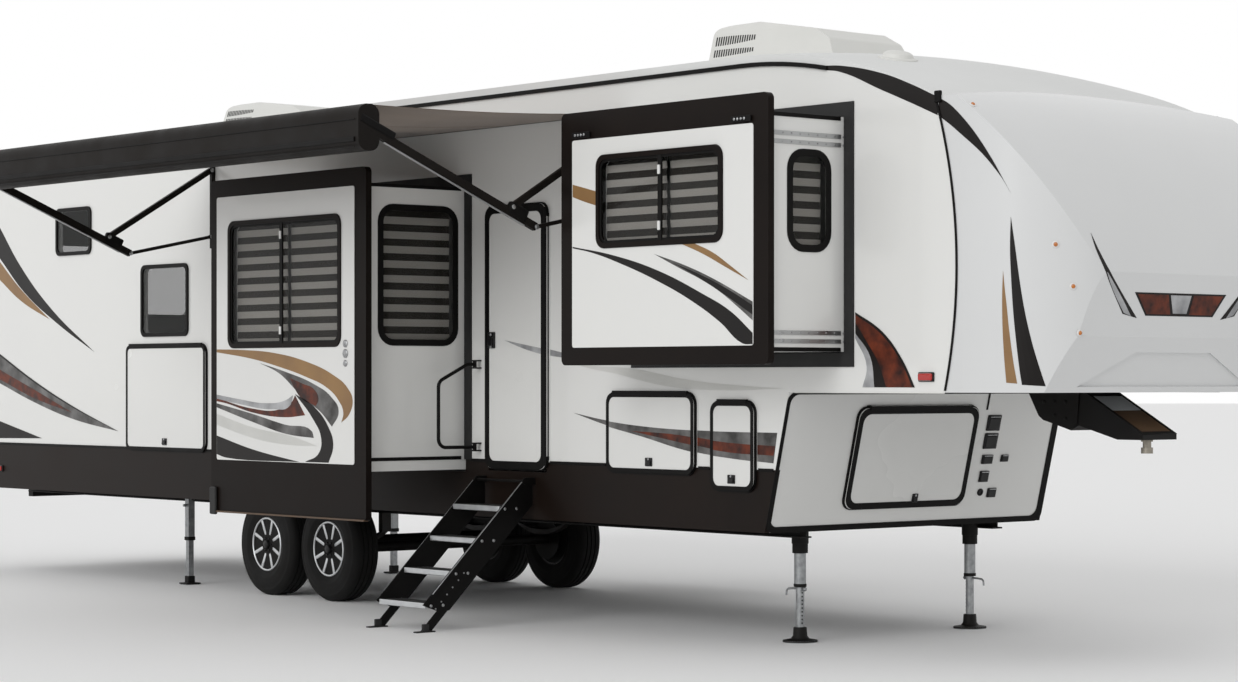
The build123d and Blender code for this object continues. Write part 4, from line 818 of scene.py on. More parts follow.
# %% Gutter line
GUTTER_TOP, REAR_END = 3.610, -5.300
BEND_START, BEND_END, BEND_DROP = 4.850, 6.600, 0.373
BEND_RADIUS = ((BEND_END - BEND_START) ** 2 + BEND_DROP ** 2) / (2 * BEND_DROP)


def gutter_z(x):
    """The height of the wall's top edge."""
    run = max(0.0, x - BEND_START)
    return GUTTER_TOP - (BEND_RADIUS - sqrt(BEND_RADIUS ** 2 - run ** 2))


def band(side, stretch, top, bottom):
    """An outline on one side, between two heights over the wall's top edge."""
    outline = [(x, gutter_z(x) + top) for x in stretch] + [(x, gutter_z(x) + bottom) for x in stretch[::-1]]
    return sharp(*as_uv(side, outline))


line = [REAR_END] + [BEND_START + 0.1 * i for i in range(9)]
for name, side in SIDES:
    channel = cut("channel", [band(side, line, 0.003, -0.024)], side_plane(side, HALF), GAP, 0.009)
    lip = cut("lip", [band(side, line, -0.016, -0.024)], side_plane(side, HALF), 0.009, 0.006)
    fit(f"{name} gutter", [channel, lip], FRAME_BLACK)
print("gutters on both sides")

# %% Blade on the wall, roof edge and nose
BLADE_UPPER = [(5.640, 3.540), (5.772, 3.529), (6.133, 3.456), (6.362, 3.380), (6.600, 3.284)]
BLADE_LOWER = [(5.640, 3.512), (5.752, 3.496), (6.133, 3.356), (6.380, 3.264), (6.600, 3.178)]
NOSE_UPPER = [(6.606, 3.281), (6.722, 3.219), (6.874, 3.084), (6.999, 2.913), (7.105, 2.711)]
NOSE_LOWER = [(6.612, 3.173), (6.741, 3.092), (6.924, 2.957), (7.041, 2.822), (7.105, 2.711)]
for name, side in SIDES:
    edges = [as_uv(side, edge[::-side]) for edge in (BLADE_UPPER, BLADE_LOWER)]
    blade = cut(f"{name} blade", [swoosh(*edges)], side_plane(side, HALF), 0.0006, 0.001)
    dress(blade, VINYL_BLACK)
    tip = drape(f"{name} nose blade", side_view(NOSE_UPPER, side), side_view(NOSE_LOWER, side), INWARDS[side],
                0.0012, 0.0008, rows=36, across=6)
    dress(tip, VINYL_BLACK)
print("blades laid")

# %% [markdown]
# The nose is screwed to the walls under a bowed black bead, and a pale sealant bead crosses the roof there.  A
# black end cap covers the corner where the gutter meets the bead.

# %% Nose seam
def seam_x(z):
    """Where the bowed seam lies at a height: a parabola through its ends and its middle."""
    (x0, z0), (x1, z1), (x2, z2) = (6.600, 3.237), (6.756, 2.400), (6.660, 1.580)
    return (x0 * (z - z1) * (z - z2) / ((z0 - z1) * (z0 - z2)) + x1 * (z - z0) * (z - z2) / ((z1 - z0) * (z1 - z2))
            + x2 * (z - z0) * (z - z1) / ((z2 - z0) * (z2 - z1)))


SEAM_LOW, SEAM_HIGH, SEAM_STEPS, SEAM_HALF = 1.59, 3.272, 24, 0.007
heights = [SEAM_LOW + (SEAM_HIGH - SEAM_LOW) * i / SEAM_STEPS for i in range(SEAM_STEPS + 1)]
for name, side in SIDES:
    outline = [(seam_x(z) - SEAM_HALF, z) for z in heights] + [(seam_x(z) + SEAM_HALF, z) for z in heights[::-1]]
    bead = cut(f"{name} nose bead", [sharp(*as_uv(side, outline))], side_plane(side, HALF), 0.0014, 0.006)
    cover = block("corner cover", at(6.606, side * (HALF + 0.004), 3.285), (0.05, 0.022, 0.07), 0.006)
    fit(f"{name} nose bead", [bead, cover], FRAME_BLACK)

crown = [at(6.597, HALF * (i / 12 - 1), 3.237 + 0.050 + 0.070 * (1 - (i / 12 - 1) ** 2)) for i in range(25)]
beads = [rod("sealant", a, b, 0.008, 8) for a, b in zip(crown, crown[1:])]
fit("roof sealant bead", beads, SHROUD, "trailer", smooth=50)
print("seams beaded")

# %% [markdown]
# ## Nose stripes
# A tan and a black blade stand at each corner of the nose, a thin smoke spike leans towards its middle, and below
# lies a trapezoid insert of mottled brown with a silver centre.  The real one's badge is left off.

# %% Nose stripes
DRAPE_THICK = 0.0006
CORNER_BLACK = ([(7.105, 2.575), (7.101, 2.40), (7.107, 2.22), (7.117, 2.04), (7.132, 1.86), (7.146, 1.72),
                 (7.158, 1.625)],
                [(7.1055, 2.575), (7.127, 2.40), (7.147, 2.22), (7.171, 2.04), (7.203, 1.86), (7.233, 1.72),
                 (7.256, 1.617)])
CORNER_TAN = ([(7.065, 2.27), (7.061, 2.17), (7.060, 2.073), (7.063, 1.932), (7.071, 1.775), (7.082, 1.637)],
              [(7.0655, 2.27), (7.074, 2.17), (7.084, 2.073), (7.097, 1.932), (7.115, 1.775), (7.136, 1.632)])
SPIKE = ([(-0.748, 2.489), (-0.730, 2.399), (-0.681, 2.294), (-0.615, 2.190), (-0.494, 2.032)],
         [(-0.7475, 2.489), (-0.705, 2.392), (-0.636, 2.280), (-0.540, 2.177), (-0.369, 2.009)])
SPIKE_CORE = ([(-0.655, 2.262), (-0.607, 2.185), (-0.545, 2.105), (-0.486, 2.038)],
              [(-0.652, 2.268), (-0.575, 2.190), (-0.495, 2.105), (-0.420, 2.018)])
for name, side in SIDES:
    for label, vinyl, edges in (("corner black", VINYL_BLACK, CORNER_BLACK), ("corner tan", VINYL_TAN, CORNER_TAN)):
        edges = [side_view(edge, side) for edge in edges]
        dress(drape(f"{name} {label}", *edges, INWARDS[side], 0.0010, DRAPE_THICK, rows=30, across=3), vinyl)
    for label, vinyl, lift, edges in (("spike", VINYL_BLACK, 0.0010, SPIKE),
                                      ("spike core", VINYL_SILVER, 0.0018, SPIKE_CORE)):
        edges = [front_view(edge, -side) for edge in edges]
        dress(drape(f"{name} {label}", *edges, BACKWARDS, lift, DRAPE_THICK, rows=24, across=3), vinyl)
print("nose stripes laid")

# %% Nose insert
INSERT = [
    # label, finish, lift, top y0, y1, bottom y0, y1, top z, bottom z
    ("rim", VINYL_BLACK, 0.0010, -0.405, 0.405, -0.297, 0.297, 2.158, 2.024),
    ("left", VINYL_BROWN, 0.0018, -0.378, -0.112, -0.288, -0.082, 2.148, 2.034),
    ("middle", VINYL_SILVER, 0.0018, -0.092, 0.092, -0.060, 0.060, 2.146, 2.040),
    ("right", VINYL_BROWN, 0.0018, 0.112, 0.378, 0.082, 0.288, 2.148, 2.034),
]
for label, vinyl, lift, top0, top1, low0, low1, z1, z0 in INSERT:
    edges = [front_view([(y0 + (y1 - y0) * i / 4, z) for i in range(5)])
             for y0, y1, z in ((top0, top1, z1), (low0, low1, z0))]
    dress(drape(f"nose insert {label}", *edges, BACKWARDS, lift, DRAPE_THICK, rows=16, across=6), vinyl)
print("nose insert laid")

# %% [markdown]
# ## Marker lamps
# Small amber lamps stand on the nose, each a low domed lens in a pale rim.  Red ones stand on the walls, on black
# bases.

# %% Marker lamps
RIM_PROFILE = [(0.021, -0.001), (0.021, 0.003), (0.018, 0.006), (0.013, 0.0065)]
LENS_PROFILE = [(0.0125, 0.004), (0.0125, 0.009), (0.010, 0.013), (0.005, 0.0155), (0.001, 0.016)]
NOSE_LAMPS = [(6.852, -1.138, 3.222), (7.273, -0.990, 2.418), (7.332, -0.897, 2.182), (7.357, -0.791, 1.919)]
rims, lenses = [], []
for x, y, z in NOSE_LAMPS:
    for side in (-1, 1):
        place, normal = onto(CAP_NODE, at(x + 0.05, -side * y, z), Vector((-0.5, 0.5 * side, 0)).normalized())
        rims.append(turned("rim", along(place, normal), RIM_PROFILE))
        lenses.append(turned("lens", along(place, normal), LENS_PROFILE))
fit("nose lamp rims", rims, CLIP, "trailer", smooth=40)
fit("nose lamp lenses", lenses, AMBER_LENS, "trailer", smooth=50)

SIDE_LAMPS = [(6.510, 1.670), (-5.140, 0.880)]
for name, side in SIDES:
    for x, z in SIDE_LAMPS:
        base = block(f"{name} lamp base {x > 0:d}", at(x, side * (HALF + 0.006), z), (0.128, 0.013, 0.056), 0.006)
        dress(base, RIM_PAINT)
        cover = block(f"{name} lamp lens {x > 0:d}", at(x, side * (HALF + 0.014), z), (0.112, 0.022, 0.042), 0.009)
        dress(cover, RED_LENS, "trailer")
print("marker lamps fitted")

# %% [markdown]
# ## Black edges on lids and doors
# Each lid is a white panel in a black extruded frame, with a thicker hinge cover along the top.  The entry door's
# cover stands on its front edge.  A flat ring is cut for each and rides on its leaf.

# %% Lid edges
STORAGE_LID = (3.533, 4.397, 1.070, 1.553, 0.050, 0.012)
LIDS = [
    # body, side, x0, x1, z0, z1, corner, inner width
    ("rear_hatch", -1, -2.846, -1.622, 1.103, 1.915, 0.035, 0.010),
    ("rear_storage_door", -1, *STORAGE_LID),
    ("front_storage_door", -1, 4.595, 4.978, 0.980, 1.503, 0.050, 0.012),
    ("off_side_storage_door", 1, *STORAGE_LID),
]
LIP_WIDTH, COVER_WIDTH, COVER_THICK = 0.016, 0.028, 0.007


def lid_edge(body, where, u0, u1, v0, v1, corner, inner, front_hinge=False):
    """A flat black ring on a leaf, and the thicker cover of its hinge."""
    outlines = [rounded(u0, u1, v0, v1, corner + LIP_WIDTH, -LIP_WIDTH), rounded(u0, u1, v0, v1, corner, inner)]
    ring = cut("ring", outlines, where, LEAF_FACE + 0.0002, 0.0025)
    if front_hinge:
        u, v, size = u1 + LIP_WIDTH, (v0 + v1) / 2, (COVER_WIDTH, v1 - v0 - 0.02, COVER_THICK)
    else:
        u, v, size = (u0 + u1) / 2, v1 + LIP_WIDTH, (u1 - u0 - 2 * corner, COVER_WIDTH, COVER_THICK)
    cover = block("cover", shifted(where, u, v, LEAF_FACE + COVER_THICK / 2), size, 0.003)
    fit(f"{body} edge", [ring, cover], FRAME_BLACK, body)


def paddle(name, where, body, width=0.070, height=0.055):
    """A small latch: a bevelled bezel, a paddle and a key barrel."""
    bezel = block("bezel", shifted(where, 0, 0, 0.004), (width, height, 0.008), 0.004)
    hand = block("hand", shifted(where, 0, -0.1 * height, 0.011) @ Matrix.Rotation(-0.12, 4, "X"),
                 (0.72 * width, 0.5 * height, 0.008), 0.003)
    fit(name, [bezel, hand], RIM_PAINT, body)
    key = turned("key", shifted(where, 0, 0.32 * height, 0.006),
                 [(0.008, 0), (0.008, 0.005), (0.006, 0.0065), (0.001, 0.0065)], 16)
    fit(f"{name} key", [key], STAINLESS, body, smooth=40)


for body, side, x0, x1, z0, z1, corner, inner in LIDS:
    where = side_plane(side, HALF)
    u0, u1 = flip(side, x0, x1)
    lid_edge(body, where, u0, u1, z0, z1, corner, inner)
    paddle(f"{body} latch", shifted(where, (u0 + u1) / 2, z0 + 0.055, LEAF_FACE), body)
print("lid edges", len(LIDS))

# %% Entry door edge and latch
lid_edge("entry_door", DOOR_SIDE, 2.175, 2.838, 1.065, 2.825, 0.055, 0.034, front_hinge=True)
housing = shifted(DOOR_SIDE, 2.244, 1.925, LEAF_FACE)
plate = block("plate", shifted(housing, 0, 0, 0.007), (0.076, 0.112, 0.014), 0.008)
pull = block("pull", shifted(housing, 0, -0.012, 0.017) @ Matrix.Rotation(-0.1, 4, "X"),
             (0.052, 0.056, 0.012), 0.004)
fit("entry latch", [plate, pull], RIM_PAINT, "entry_door")
locks = [turned("lock", shifted(housing, 0, v, 0.012),
                [(0.011, 0), (0.011, 0.006), (0.008, 0.008), (0.001, 0.008)], 18) for v in (0.038, -0.046)]
fit("entry locks", locks, STAINLESS, "entry_door", smooth=40)
print("entry door dressed")

# %% [markdown]
# ## Basement front
# The sloping front under the bedroom floor is a flat white panel in black edge trim.  Its hatch has a wide black
# seal, and beside it sits a column of black inlets for water, power and waste.

# %% Basement front edges
SLOPE_RUN, SLOPE_RISE = 0.220, 0.850
SLOPE = plane(at(5.080, 0, 0.730), (0, 1, 0), (SLOPE_RUN, 0, SLOPE_RISE))
SLOPE_LENGTH = hypot(SLOPE_RUN, SLOPE_RISE)
outer = rounded(-HALF, HALF, -0.022, SLOPE_LENGTH - 0.004, 0.060)
inner = rounded(-HALF + 0.026, HALF - 0.052, 0.016, SLOPE_LENGTH - 0.016, 0.062)
edge = cut("basement edge", [outer, inner], SLOPE, GAP, 0.005)
dress(edge, FRAME_BLACK)
lid_edge("front_hatch", SLOPE, -0.595, 0.425, 0.1343, 0.7592, 0.060, 0.022)
paddle("front_hatch latch", shifted(SLOPE, -0.010, 0.176, LEAF_FACE), "front_hatch", 0.05, 0.06)
print("basement edged")

# %% Inlets
PORTS = [
    # u, v, width, height, kind
    (0.607, 0.664, 0.122, 0.106, "hatch"), (0.607, 0.542, 0.122, 0.106, "hatch"),
    (0.607, 0.417, 0.100, 0.062, "hatch"), (0.605, 0.301, 0.084, 0.076, "hatch"),
    (0.600, 0.193, 0.050, 0.050, "round"), (0.704, 0.188, 0.080, 0.064, "hatch"),
    (0.768, 0.422, 0.070, 0.048, "hatch"),
]
frames, flaps, pins = [], [], []
for u, v, width, height, kind in PORTS:
    where = shifted(SLOPE, u, v, 0)
    if kind == "round":
        frames.append(turned("ring", where, [(width / 2, 0), (width / 2, 0.006), (width / 2.4, 0.009),
                                             (width / 3, 0.009), (width / 3, 0.004), (0.001, 0.004)], 24))
        continue
    frames.append(block("frame", shifted(where, 0, 0, 0.005), (width, height, 0.010), 0.004))
    flaps.append(block("flap", shifted(where, 0, -0.04 * height, 0.011),
                       (0.78 * width, 0.70 * height, 0.008), 0.004))
    pins.append(rod("pin", where @ Vector((-0.36 * width, 0.40 * height, 0.013)),
                    where @ Vector((0.36 * width, 0.40 * height, 0.013)), 0.0035, 10))
fit("inlet frames", frames, RIM_PAINT, smooth=40)
fit("inlet flaps", flaps, SEAL)
fit("inlet hinge pins", pins, STAINLESS, smooth=40)
strip = cut("wiring strip", [rounded(0.517, 0.529, 0.753, SLOPE_LENGTH - 0.016, 0.003)], SLOPE, GAP, 0.006)
dress(strip, FRAME_BLACK)
print("inlets", len(PORTS))

# %% [markdown]
# ## Corner and belt trims
# Aluminium and black extrusions hide the cut edges of the laminate: at the rear corners, along the belt where the
# skirt starts, and under the nose.  Each is a thin angle screwed on.

# %% Trims
BELT_Z = 1.098
BELT_RUNS = ((REAR_END, -0.100), (1.960, 2.140), (2.880, 3.490), (4.440, 4.550), (5.020, 5.160))
for name, side in SIDES:
    corner = block(f"{name} rear corner", at(-5.292, side * (HALF + 0.003), 2.36), (0.036, 0.008, 2.49), 0.002)
    dress(corner, FRAME_BLACK)
    belt = [block("belt", at((x0 + x1) / 2, side * (HALF + 0.003), BELT_Z), (x1 - x0, 0.007, 0.020), 0.002)
            for x0, x1 in BELT_RUNS]
    fit(f"{name} belt trim", belt, FRAME_BLACK)
    hem = block(f"{name} nose hem", at(6.0, side * (HALF - 0.004), 1.5775), (1.30, 0.010, 0.008), 0.002)
    dress(hem, SHROUD, "trailer")
print("trims fitted")

# %% [markdown]
# ## Ends of the rooms
# A room's end wall shows how it slides: silver strips of roller track with a row of screws, black weather strips
# along its top and bottom, and a tall narrow window with round ends in a black frame.

# %% End windows
LIVING_END = (1.885, (1.290, 1.920, 1.900, 2.840), 1.100, 3.030, 2.040)
ROOM_ENDS = [
    # body, side, x of the end wall, window y0, y1, z0, z1, bottom and top of the wall, reach of its strips
    ("mid_slide", -1, *LIVING_END),
    ("off_side_slide", 1, *LIVING_END),
    ("bedroom_slide", -1, 5.800, (1.340, 1.660, 2.420, 3.000), 1.810, 3.280, 1.810),
]
# The corner radius and inset of a ring's outer edge, those of its inner edge, and its thickness.
END_RINGS = ((0.122, -0.014, 0.085, 0.026, 0.0040), (0.092, 0.018, 0.080, 0.030, 0.0048))


def end_plane(x):
    """A drawing plane on a wall that faces forward; u is Y."""
    return plane(at(x, 0, 0), (0, 1, 0), (0, 0, 1))


for body, side, x, (y0, y1, z0, z1), *_ in ROOM_ENDS:
    where = end_plane(x)
    u0, u1 = sorted((side * y0, side * y1))
    rings = [cut("ring", [rounded(u0, u1, z0, z1, outer_radius, outer), rounded(u0, u1, z0, z1, inner_radius, inner)],
                 where, GAP, thick) for outer_radius, outer, inner_radius, inner, thick in END_RINGS]
    fit(f"{body} end window frame", rings, FRAME_BLACK, body)
    blind(f"{body} end blind", where, u0 + BLIND_INSET, u1 - BLIND_INSET, z0, z1, 0.060, body)
print("end windows", len(ROOM_ENDS))

# %% Room edges and strips
for body, side, x, _, z0, z1, reach in ROOM_ENDS:
    where = end_plane(x)
    u0, u1 = sorted((side * (HALF + 0.03), side * reach))
    box_low, box_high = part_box(f"{body}_box")
    z0, z1 = max(z0, box_low[2]), min(z1, box_high[2])
    edges = [block("edge", shifted(where, (u0 + u1) / 2, v, 0.0021), (u1 - u0, 0.024, 0.0042), 0.001)
             for v in (z0 + 0.012, z1 - 0.012)]
    fit(f"{body} end edges", edges, FRAME_BLACK, body)
    if body == "bedroom_slide":
        tracks = (z1 - 0.120, z1 - 0.170, z0 + 0.060, z0 + 0.110)
        rails = [block("rail", shifted(where, (u0 + u1) / 2, v, 0.003), (u1 - u0, 0.026, 0.006), 0.001)
                 for v in tracks]
        fit(f"{body} track strips", rails, TRIM_METAL, body)
        places = [shifted(where, u0 + 0.03 + 0.0685 * i, v, 0.006) for i in range(9) for v in tracks]
        screws(f"{body} track screws", places, 0.006, body)
print("room ends dressed")

# %% [markdown]
# ## Fittings on the room faces
# The upper corners of the bedroom face carry black roller brackets with bright pins.  The face of the living room
# has a grey rounded corner piece low at the rear, and small generic fittings by its front edge.

# %% Room fittings
BRACKET_Z, BRACKET_XS = 3.186, (4.048, 5.592)
where = face_plane("bedroom_slide")
plates = [block("plate", shifted(where, u, BRACKET_Z, PANEL_THICK + 0.006), (0.180, 0.036, 0.012), 0.004)
          for u in BRACKET_XS]
fit("bedroom brackets", plates, FRAME_BLACK, "bedroom_slide")
pins = [shifted(where, u + d, BRACKET_Z, PANEL_THICK + 0.012) for u in BRACKET_XS
        for d in (-0.055, -0.025, 0.005, 0.035)]
screws("bedroom bracket pins", pins, 0.009, "bedroom_slide")

for body, side in (("mid_slide", -1), ("off_side_slide", 1)):
    foot = block(f"{body} corner guard", shifted(face_plane(body), 0.028 * side, 0.78, 0.012),
                 (0.085, 0.200, 0.024), 0.011)
    dress(foot, SEAL, body)
ovals = [turned("oval", shifted(face_plane("mid_slide"), 1.706, v, PANEL_THICK),
                [(r, 0), (r, 0.006), (0.8 * r, 0.010), (0.35 * r, 0.011), (0.001, 0.011)], 24)
         for v, r in ((1.900, 0.026), (1.832, 0.030), (1.765, 0.022))]
fit("mid_slide fittings", ovals, STAINLESS, "mid_slide", smooth=40)
print("room fittings fitted")

# %% [markdown]
# ## Awning
# The awning is one length of coated cloth, held in a rail on the wall and wound on a roller in a dark case.  It is
# pulled tight, so it only dips a little between its edges and puckers near the arms.  It is modelled as a grid that
# is sagged and given the cloth's thickness, with the sewn seams of its panels on top.

# %% Awning cloth
CLOTH_X0, CLOTH_X1 = -1.462, 3.662
RAIL = (-HALF - 0.004, 3.386)
CASE_TOP = (-3.196, 3.3215)
SAG = 0.030


def cloth_point(along_x, across):
    """A place on the cloth; across runs from 0 at the wall rail to 1 at the case."""
    y = RAIL[0] + (CASE_TOP[0] - RAIL[0]) * across
    belly = sin(pi * across) * (0.75 + 0.25 * sin(pi * along_x))
    pucker = 0.003 * sin(pi * across) * sin(22 * pi * along_x) * (1 - sin(pi * along_x)) ** 2
    z = RAIL[1] + (CASE_TOP[1] - RAIL[1]) * across - SAG * belly + pucker
    return at(CLOTH_X0 + (CLOTH_X1 - CLOTH_X0) * along_x, y, z)


cloth = fresh("awning cloth", bpy.ops.mesh.primitive_grid_add, x_subdivisions=96, y_subdivisions=24, size=1)
for vertex in cloth.data.vertices:
    vertex.co = cloth_point(vertex.co.x + 0.5, vertex.co.y + 0.5)
thicken(cloth, CLOTH_THICK, 0)
dress(cloth, AWNING_CLOTH, "trailer", smooth=40)
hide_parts("awning_fabric")

seams = []
for share in (0.004, 0.25, 0.5, 0.75, 0.996):
    for step in range(12):
        ends = [cloth_point(share, (step + end) / 12) - Vector((0, 0, 0.0006)) for end in (0, 1)]
        seams.append(bar("seam", *ends, 0.016, 0.0022, (1, 0, 0), 0.0005))
seam_piece = fit("awning seams", seams, AWNING_CLOTH, "trailer")
print("awning cloth sagged", SAG)

# %% [markdown]
# The case has a lead rail and two thin black lines along its front; the upper one is the painted shade of a seam
# groove.  A black strip on its top is the painted shade of the gap there.  Each folding arm has a bright spring rod
# under it and is pinned at every knuckle.

# %% Awning case and arms
AWNING_X = (CLOTH_X0 + CLOTH_X1) / 2
rail = block("rail", at(AWNING_X, -HALF - 0.010, 3.398), (5.30, 0.022, 0.030), 0.005)
lead = block("lead", at(AWNING_X, -3.279, 3.105), (5.16, 0.010, 0.030), 0.004)
# Two thin black lines on the case front; the upper one is the painted shade of a seam groove.
dark_case_lines = [block("lip", at(AWNING_X, -3.2775, z), (5.16, 0.006, 0.006), 0.002) for z in (3.225, 3.060)]
# Painted shade: a black strip standing for the gap along the top of the case.
gap_shade_strip = block("gap_shade_strip", at(AWNING_X, -3.160, 3.322), (5.13, 0.050, 0.008), 0.003)
fit("awning rails", [rail, lead, gap_shade_strip] + dark_case_lines, FRAME_BLACK, "trailer")

ELBOW, JOINT, HEAD, FOOT, ROLLER = (1.950, 2.620), (2.130, 2.740), (1.250, 3.290), (1.250, 2.770), (3.200, 3.177)
pins, heads, springs = [], [], []
for x in (-1.500, 3.700):
    for y, z in (ELBOW, JOINT, HEAD, FOOT):
        for way in (-1, 1):
            pins.append(along(at(x + way * 0.0175, -y, z), (way, 0, 0)))
    reach = Vector((0, -(ROLLER[0] - ELBOW[0]), ROLLER[1] - ELBOW[1]))
    under = Vector((0, reach.z, -reach.y)).normalized() * -0.030
    start = at(x, -ELBOW[0], ELBOW[1])
    springs.append(bar("spring", start + 0.06 * reach + under, start + 0.90 * reach + under, 0.022, 0.008, (1, 0, 0)))
    heads.append(bar("head", start + 0.86 * reach - 1.1 * under, start + 1.055 * reach - 1.1 * under, 0.046, 0.052,
                     (1, 0, 0), 0.010))
    heads.append(block("knuckle", along(at(x, -JOINT[0] + 0.04, JOINT[1] - 0.03), reach, (1, 0, 0)),
                       (0.046, 0.085, 0.150), 0.012))
fit("awning arm springs", springs, TRIM_METAL, "trailer")
fit("awning arm heads", heads, FRAME_BLACK, "trailer")
one = turned("pin", Matrix.Identity(4), [(0.016, 0), (0.016, 0.005), (0.009, 0.008), (0.001, 0.008)], 14)
fit("awning arm pins", copies(one, pins), STAINLESS, "trailer", smooth=40)
print("awning arms detailed")

# %% [markdown]
# ## Entry steps
# Folding aluminium steps: each tread has a bright ribbed nose and black grip strips, and the dark side plates are
# stiffened by turned edges and hold the treads with bolts.  Flat feet stand on the ground.

# %% Treads
STEP_X0, STEP_X1 = 2.150, 2.706
TREADS = [(0.282, 0.806), (0.470, 0.598), (0.678, 0.390), (0.876, 0.188)]
noses, grips, bolts = [], [], []
for out, z in TREADS:
    y = -HALF - out
    width = STEP_X1 - STEP_X0 - 0.024
    middle = (STEP_X0 + STEP_X1) / 2
    noses.append(block("nose", at(middle, y - 0.003, z - 0.016), (width, 0.012, 0.036), 0.004))
    for lift in (-0.004, -0.012, -0.020, -0.028):
        noses.append(block("rib", at(middle, y - 0.0095, z + lift), (width - 0.01, 0.003, 0.004), 0.001))
    for back in (0.028, 0.062, 0.096, 0.130):
        grips.append(block("grip", at(middle, y + back, z + 0.0012), (width - 0.03, 0.022, 0.0030), 0.001))
    for x, way in ((STEP_X0, -1), (STEP_X1, 1)):
        for back in (0.035, 0.130):
            bolts.append(along(at(x, y + back, z - 0.017), (way, 0, 0)))
fit("tread noses", noses, MACHINED, "entry_steps")
fit("tread grips", grips, SEAL, "entry_steps")
screws("step bolts", bolts, 0.011, "entry_steps")
print("treads", len(TREADS))

# %% Side plates
flanges, holes, feet = [], [], []
for x, way in ((STEP_X0 - 0.001, -1), (STEP_X1 + 0.001, 1)):
    flanges.append(bar("flange", at(x, -1.330, 0.966), at(x, -2.050, 0.246), 0.012, 0.005, (1, 0, 0), 0.002))
    for step in range(6):
        shift = 0.045 * step
        holes.append(along(at(x, -1.80 - shift, 0.375 - shift), (way, 0, 0)))
    feet.append(block("foot", at(x, -2.112, 0.0045), (0.044, 0.150, 0.009), 0.004))
    feet.append(block("ankle", at(x, -2.105, 0.030), (0.020, 0.050, 0.050), 0.005))
fit("step plate edges", flanges, TREAD_METAL, "entry_steps")
fit("step feet", feet, SEAL, "entry_steps")
screws("step adjusting pins", holes, 0.006, "entry_steps")
print("step plates stiffened")

# %% [markdown]
# ## Wheels
# Eight machined spokes run from a hub to a bright rim edge over black pockets.  One spoke is modelled and copied
# round, and the hub carries a cap and six lug nuts.  The tyre's tread is drawn up ring by ring with its grooves.

# %% Wheel faces
TRACK_HALF = 1.032
SPOKES, NUTS = 8, 6
WHEELS = [(axle, name, along(at(x, side * TRACK_HALF, HUB_Z), (0, side, 0), (1, 0, 0)))
          for axle, x in (("front", 0.0), ("rear", -WHEELBASE)) for name, side in SIDES]


def turns(where, count, start=0.0):
    """A place turned round its own axis in equal steps."""
    return [where @ Matrix.Rotation(radians(start + 360 / count * i), 4, "Z") for i in range(count)]


for axle, name, where in WHEELS:
    body = f"wheel_{axle}_{name}"
    spoke = bar("spoke", (0.064, 0, 0.0830), (0.196, 0, 0.0925), 0.012, 0.026, (0, 0, 1), 0.004)
    pick(spoke)
    bpy.ops.object.transform_apply(location=True, rotation=True, scale=True)
    face = copies(spoke, turns(where, SPOKES, 22.5))
    face.append(turned("hub", where, [(0.078, 0.079), (0.078, 0.084), (0.066, 0.0885), (0.060, 0.0885),
                                      (0.060, 0.079)], 48))
    lip = fresh("lip", bpy.ops.mesh.primitive_torus_add, major_segments=64, minor_segments=10, major_radius=0.1995,
                minor_radius=0.0085)
    lip.matrix_world = shifted(where, 0, 0, 0.0945)
    fit(f"{body} face", face + [lip], MACHINED, body, smooth=40)
    cap = turned("cap", where, [(0.034, 0.080), (0.034, 0.104), (0.028, 0.112), (0.012, 0.115), (0.001, 0.115)], 32)
    nut = turned("nut", Matrix.Identity(4), [(0.0095, 0), (0.0095, 0.014), (0.006, 0.019), (0.001, 0.019)], 6)
    nuts = copies(nut, [shifted(turn, 0.050, 0, 0.080) for turn in turns(where, NUTS)])
    fit(f"{body} hub cap", [cap] + nuts, RIM_PAINT, body, smooth=40)
print("wheel faces", len(WHEELS))

# %% Tyres
TREAD = [
    # radius, distance from the middle: a groove is a drop between two ribs
    (0.391, -0.066), (0.391, -0.045), (0.383, -0.043), (0.383, -0.035), (0.391, -0.033), (0.391, -0.006),
    (0.383, -0.004), (0.383, 0.004), (0.391, 0.006), (0.391, 0.033), (0.383, 0.035), (0.383, 0.043), (0.391, 0.045),
    (0.391, 0.066),
]
SHOULDER = [(0.387, 0.078), (0.377, 0.094), (0.355, 0.1055), (0.349, 0.1085), (0.344, 0.1085), (0.340, 0.1075),
            (0.320, 0.1145), (0.297, 0.1175), (0.270, 0.1165), (0.262, 0.1175), (0.256, 0.1155), (0.235, 0.108),
            (0.221, 0.100), (0.2105, 0.0955), (0.2045, 0.094), (0.2035, 0.090)]
for axle, name, where in WHEELS:
    body = f"wheel_{axle}_{name}"
    profile = [(radius, -z) for radius, z in SHOULDER[::-1]] + TREAD + SHOULDER
    tyre = dress(turned(f"{body} tyre", where, profile, 96), TYRE, body, smooth=35)
    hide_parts(f"tyre_{axle}_{name}")
print("tyres turned", len(WHEELS))

# %% [markdown]
# ## Landing legs and jacks
# Each landing leg is a zinc tube in a black collar, with a drop leg held by a pull pin and standing on a round black
# foot.  The rear jacks are square tubes on square feet.

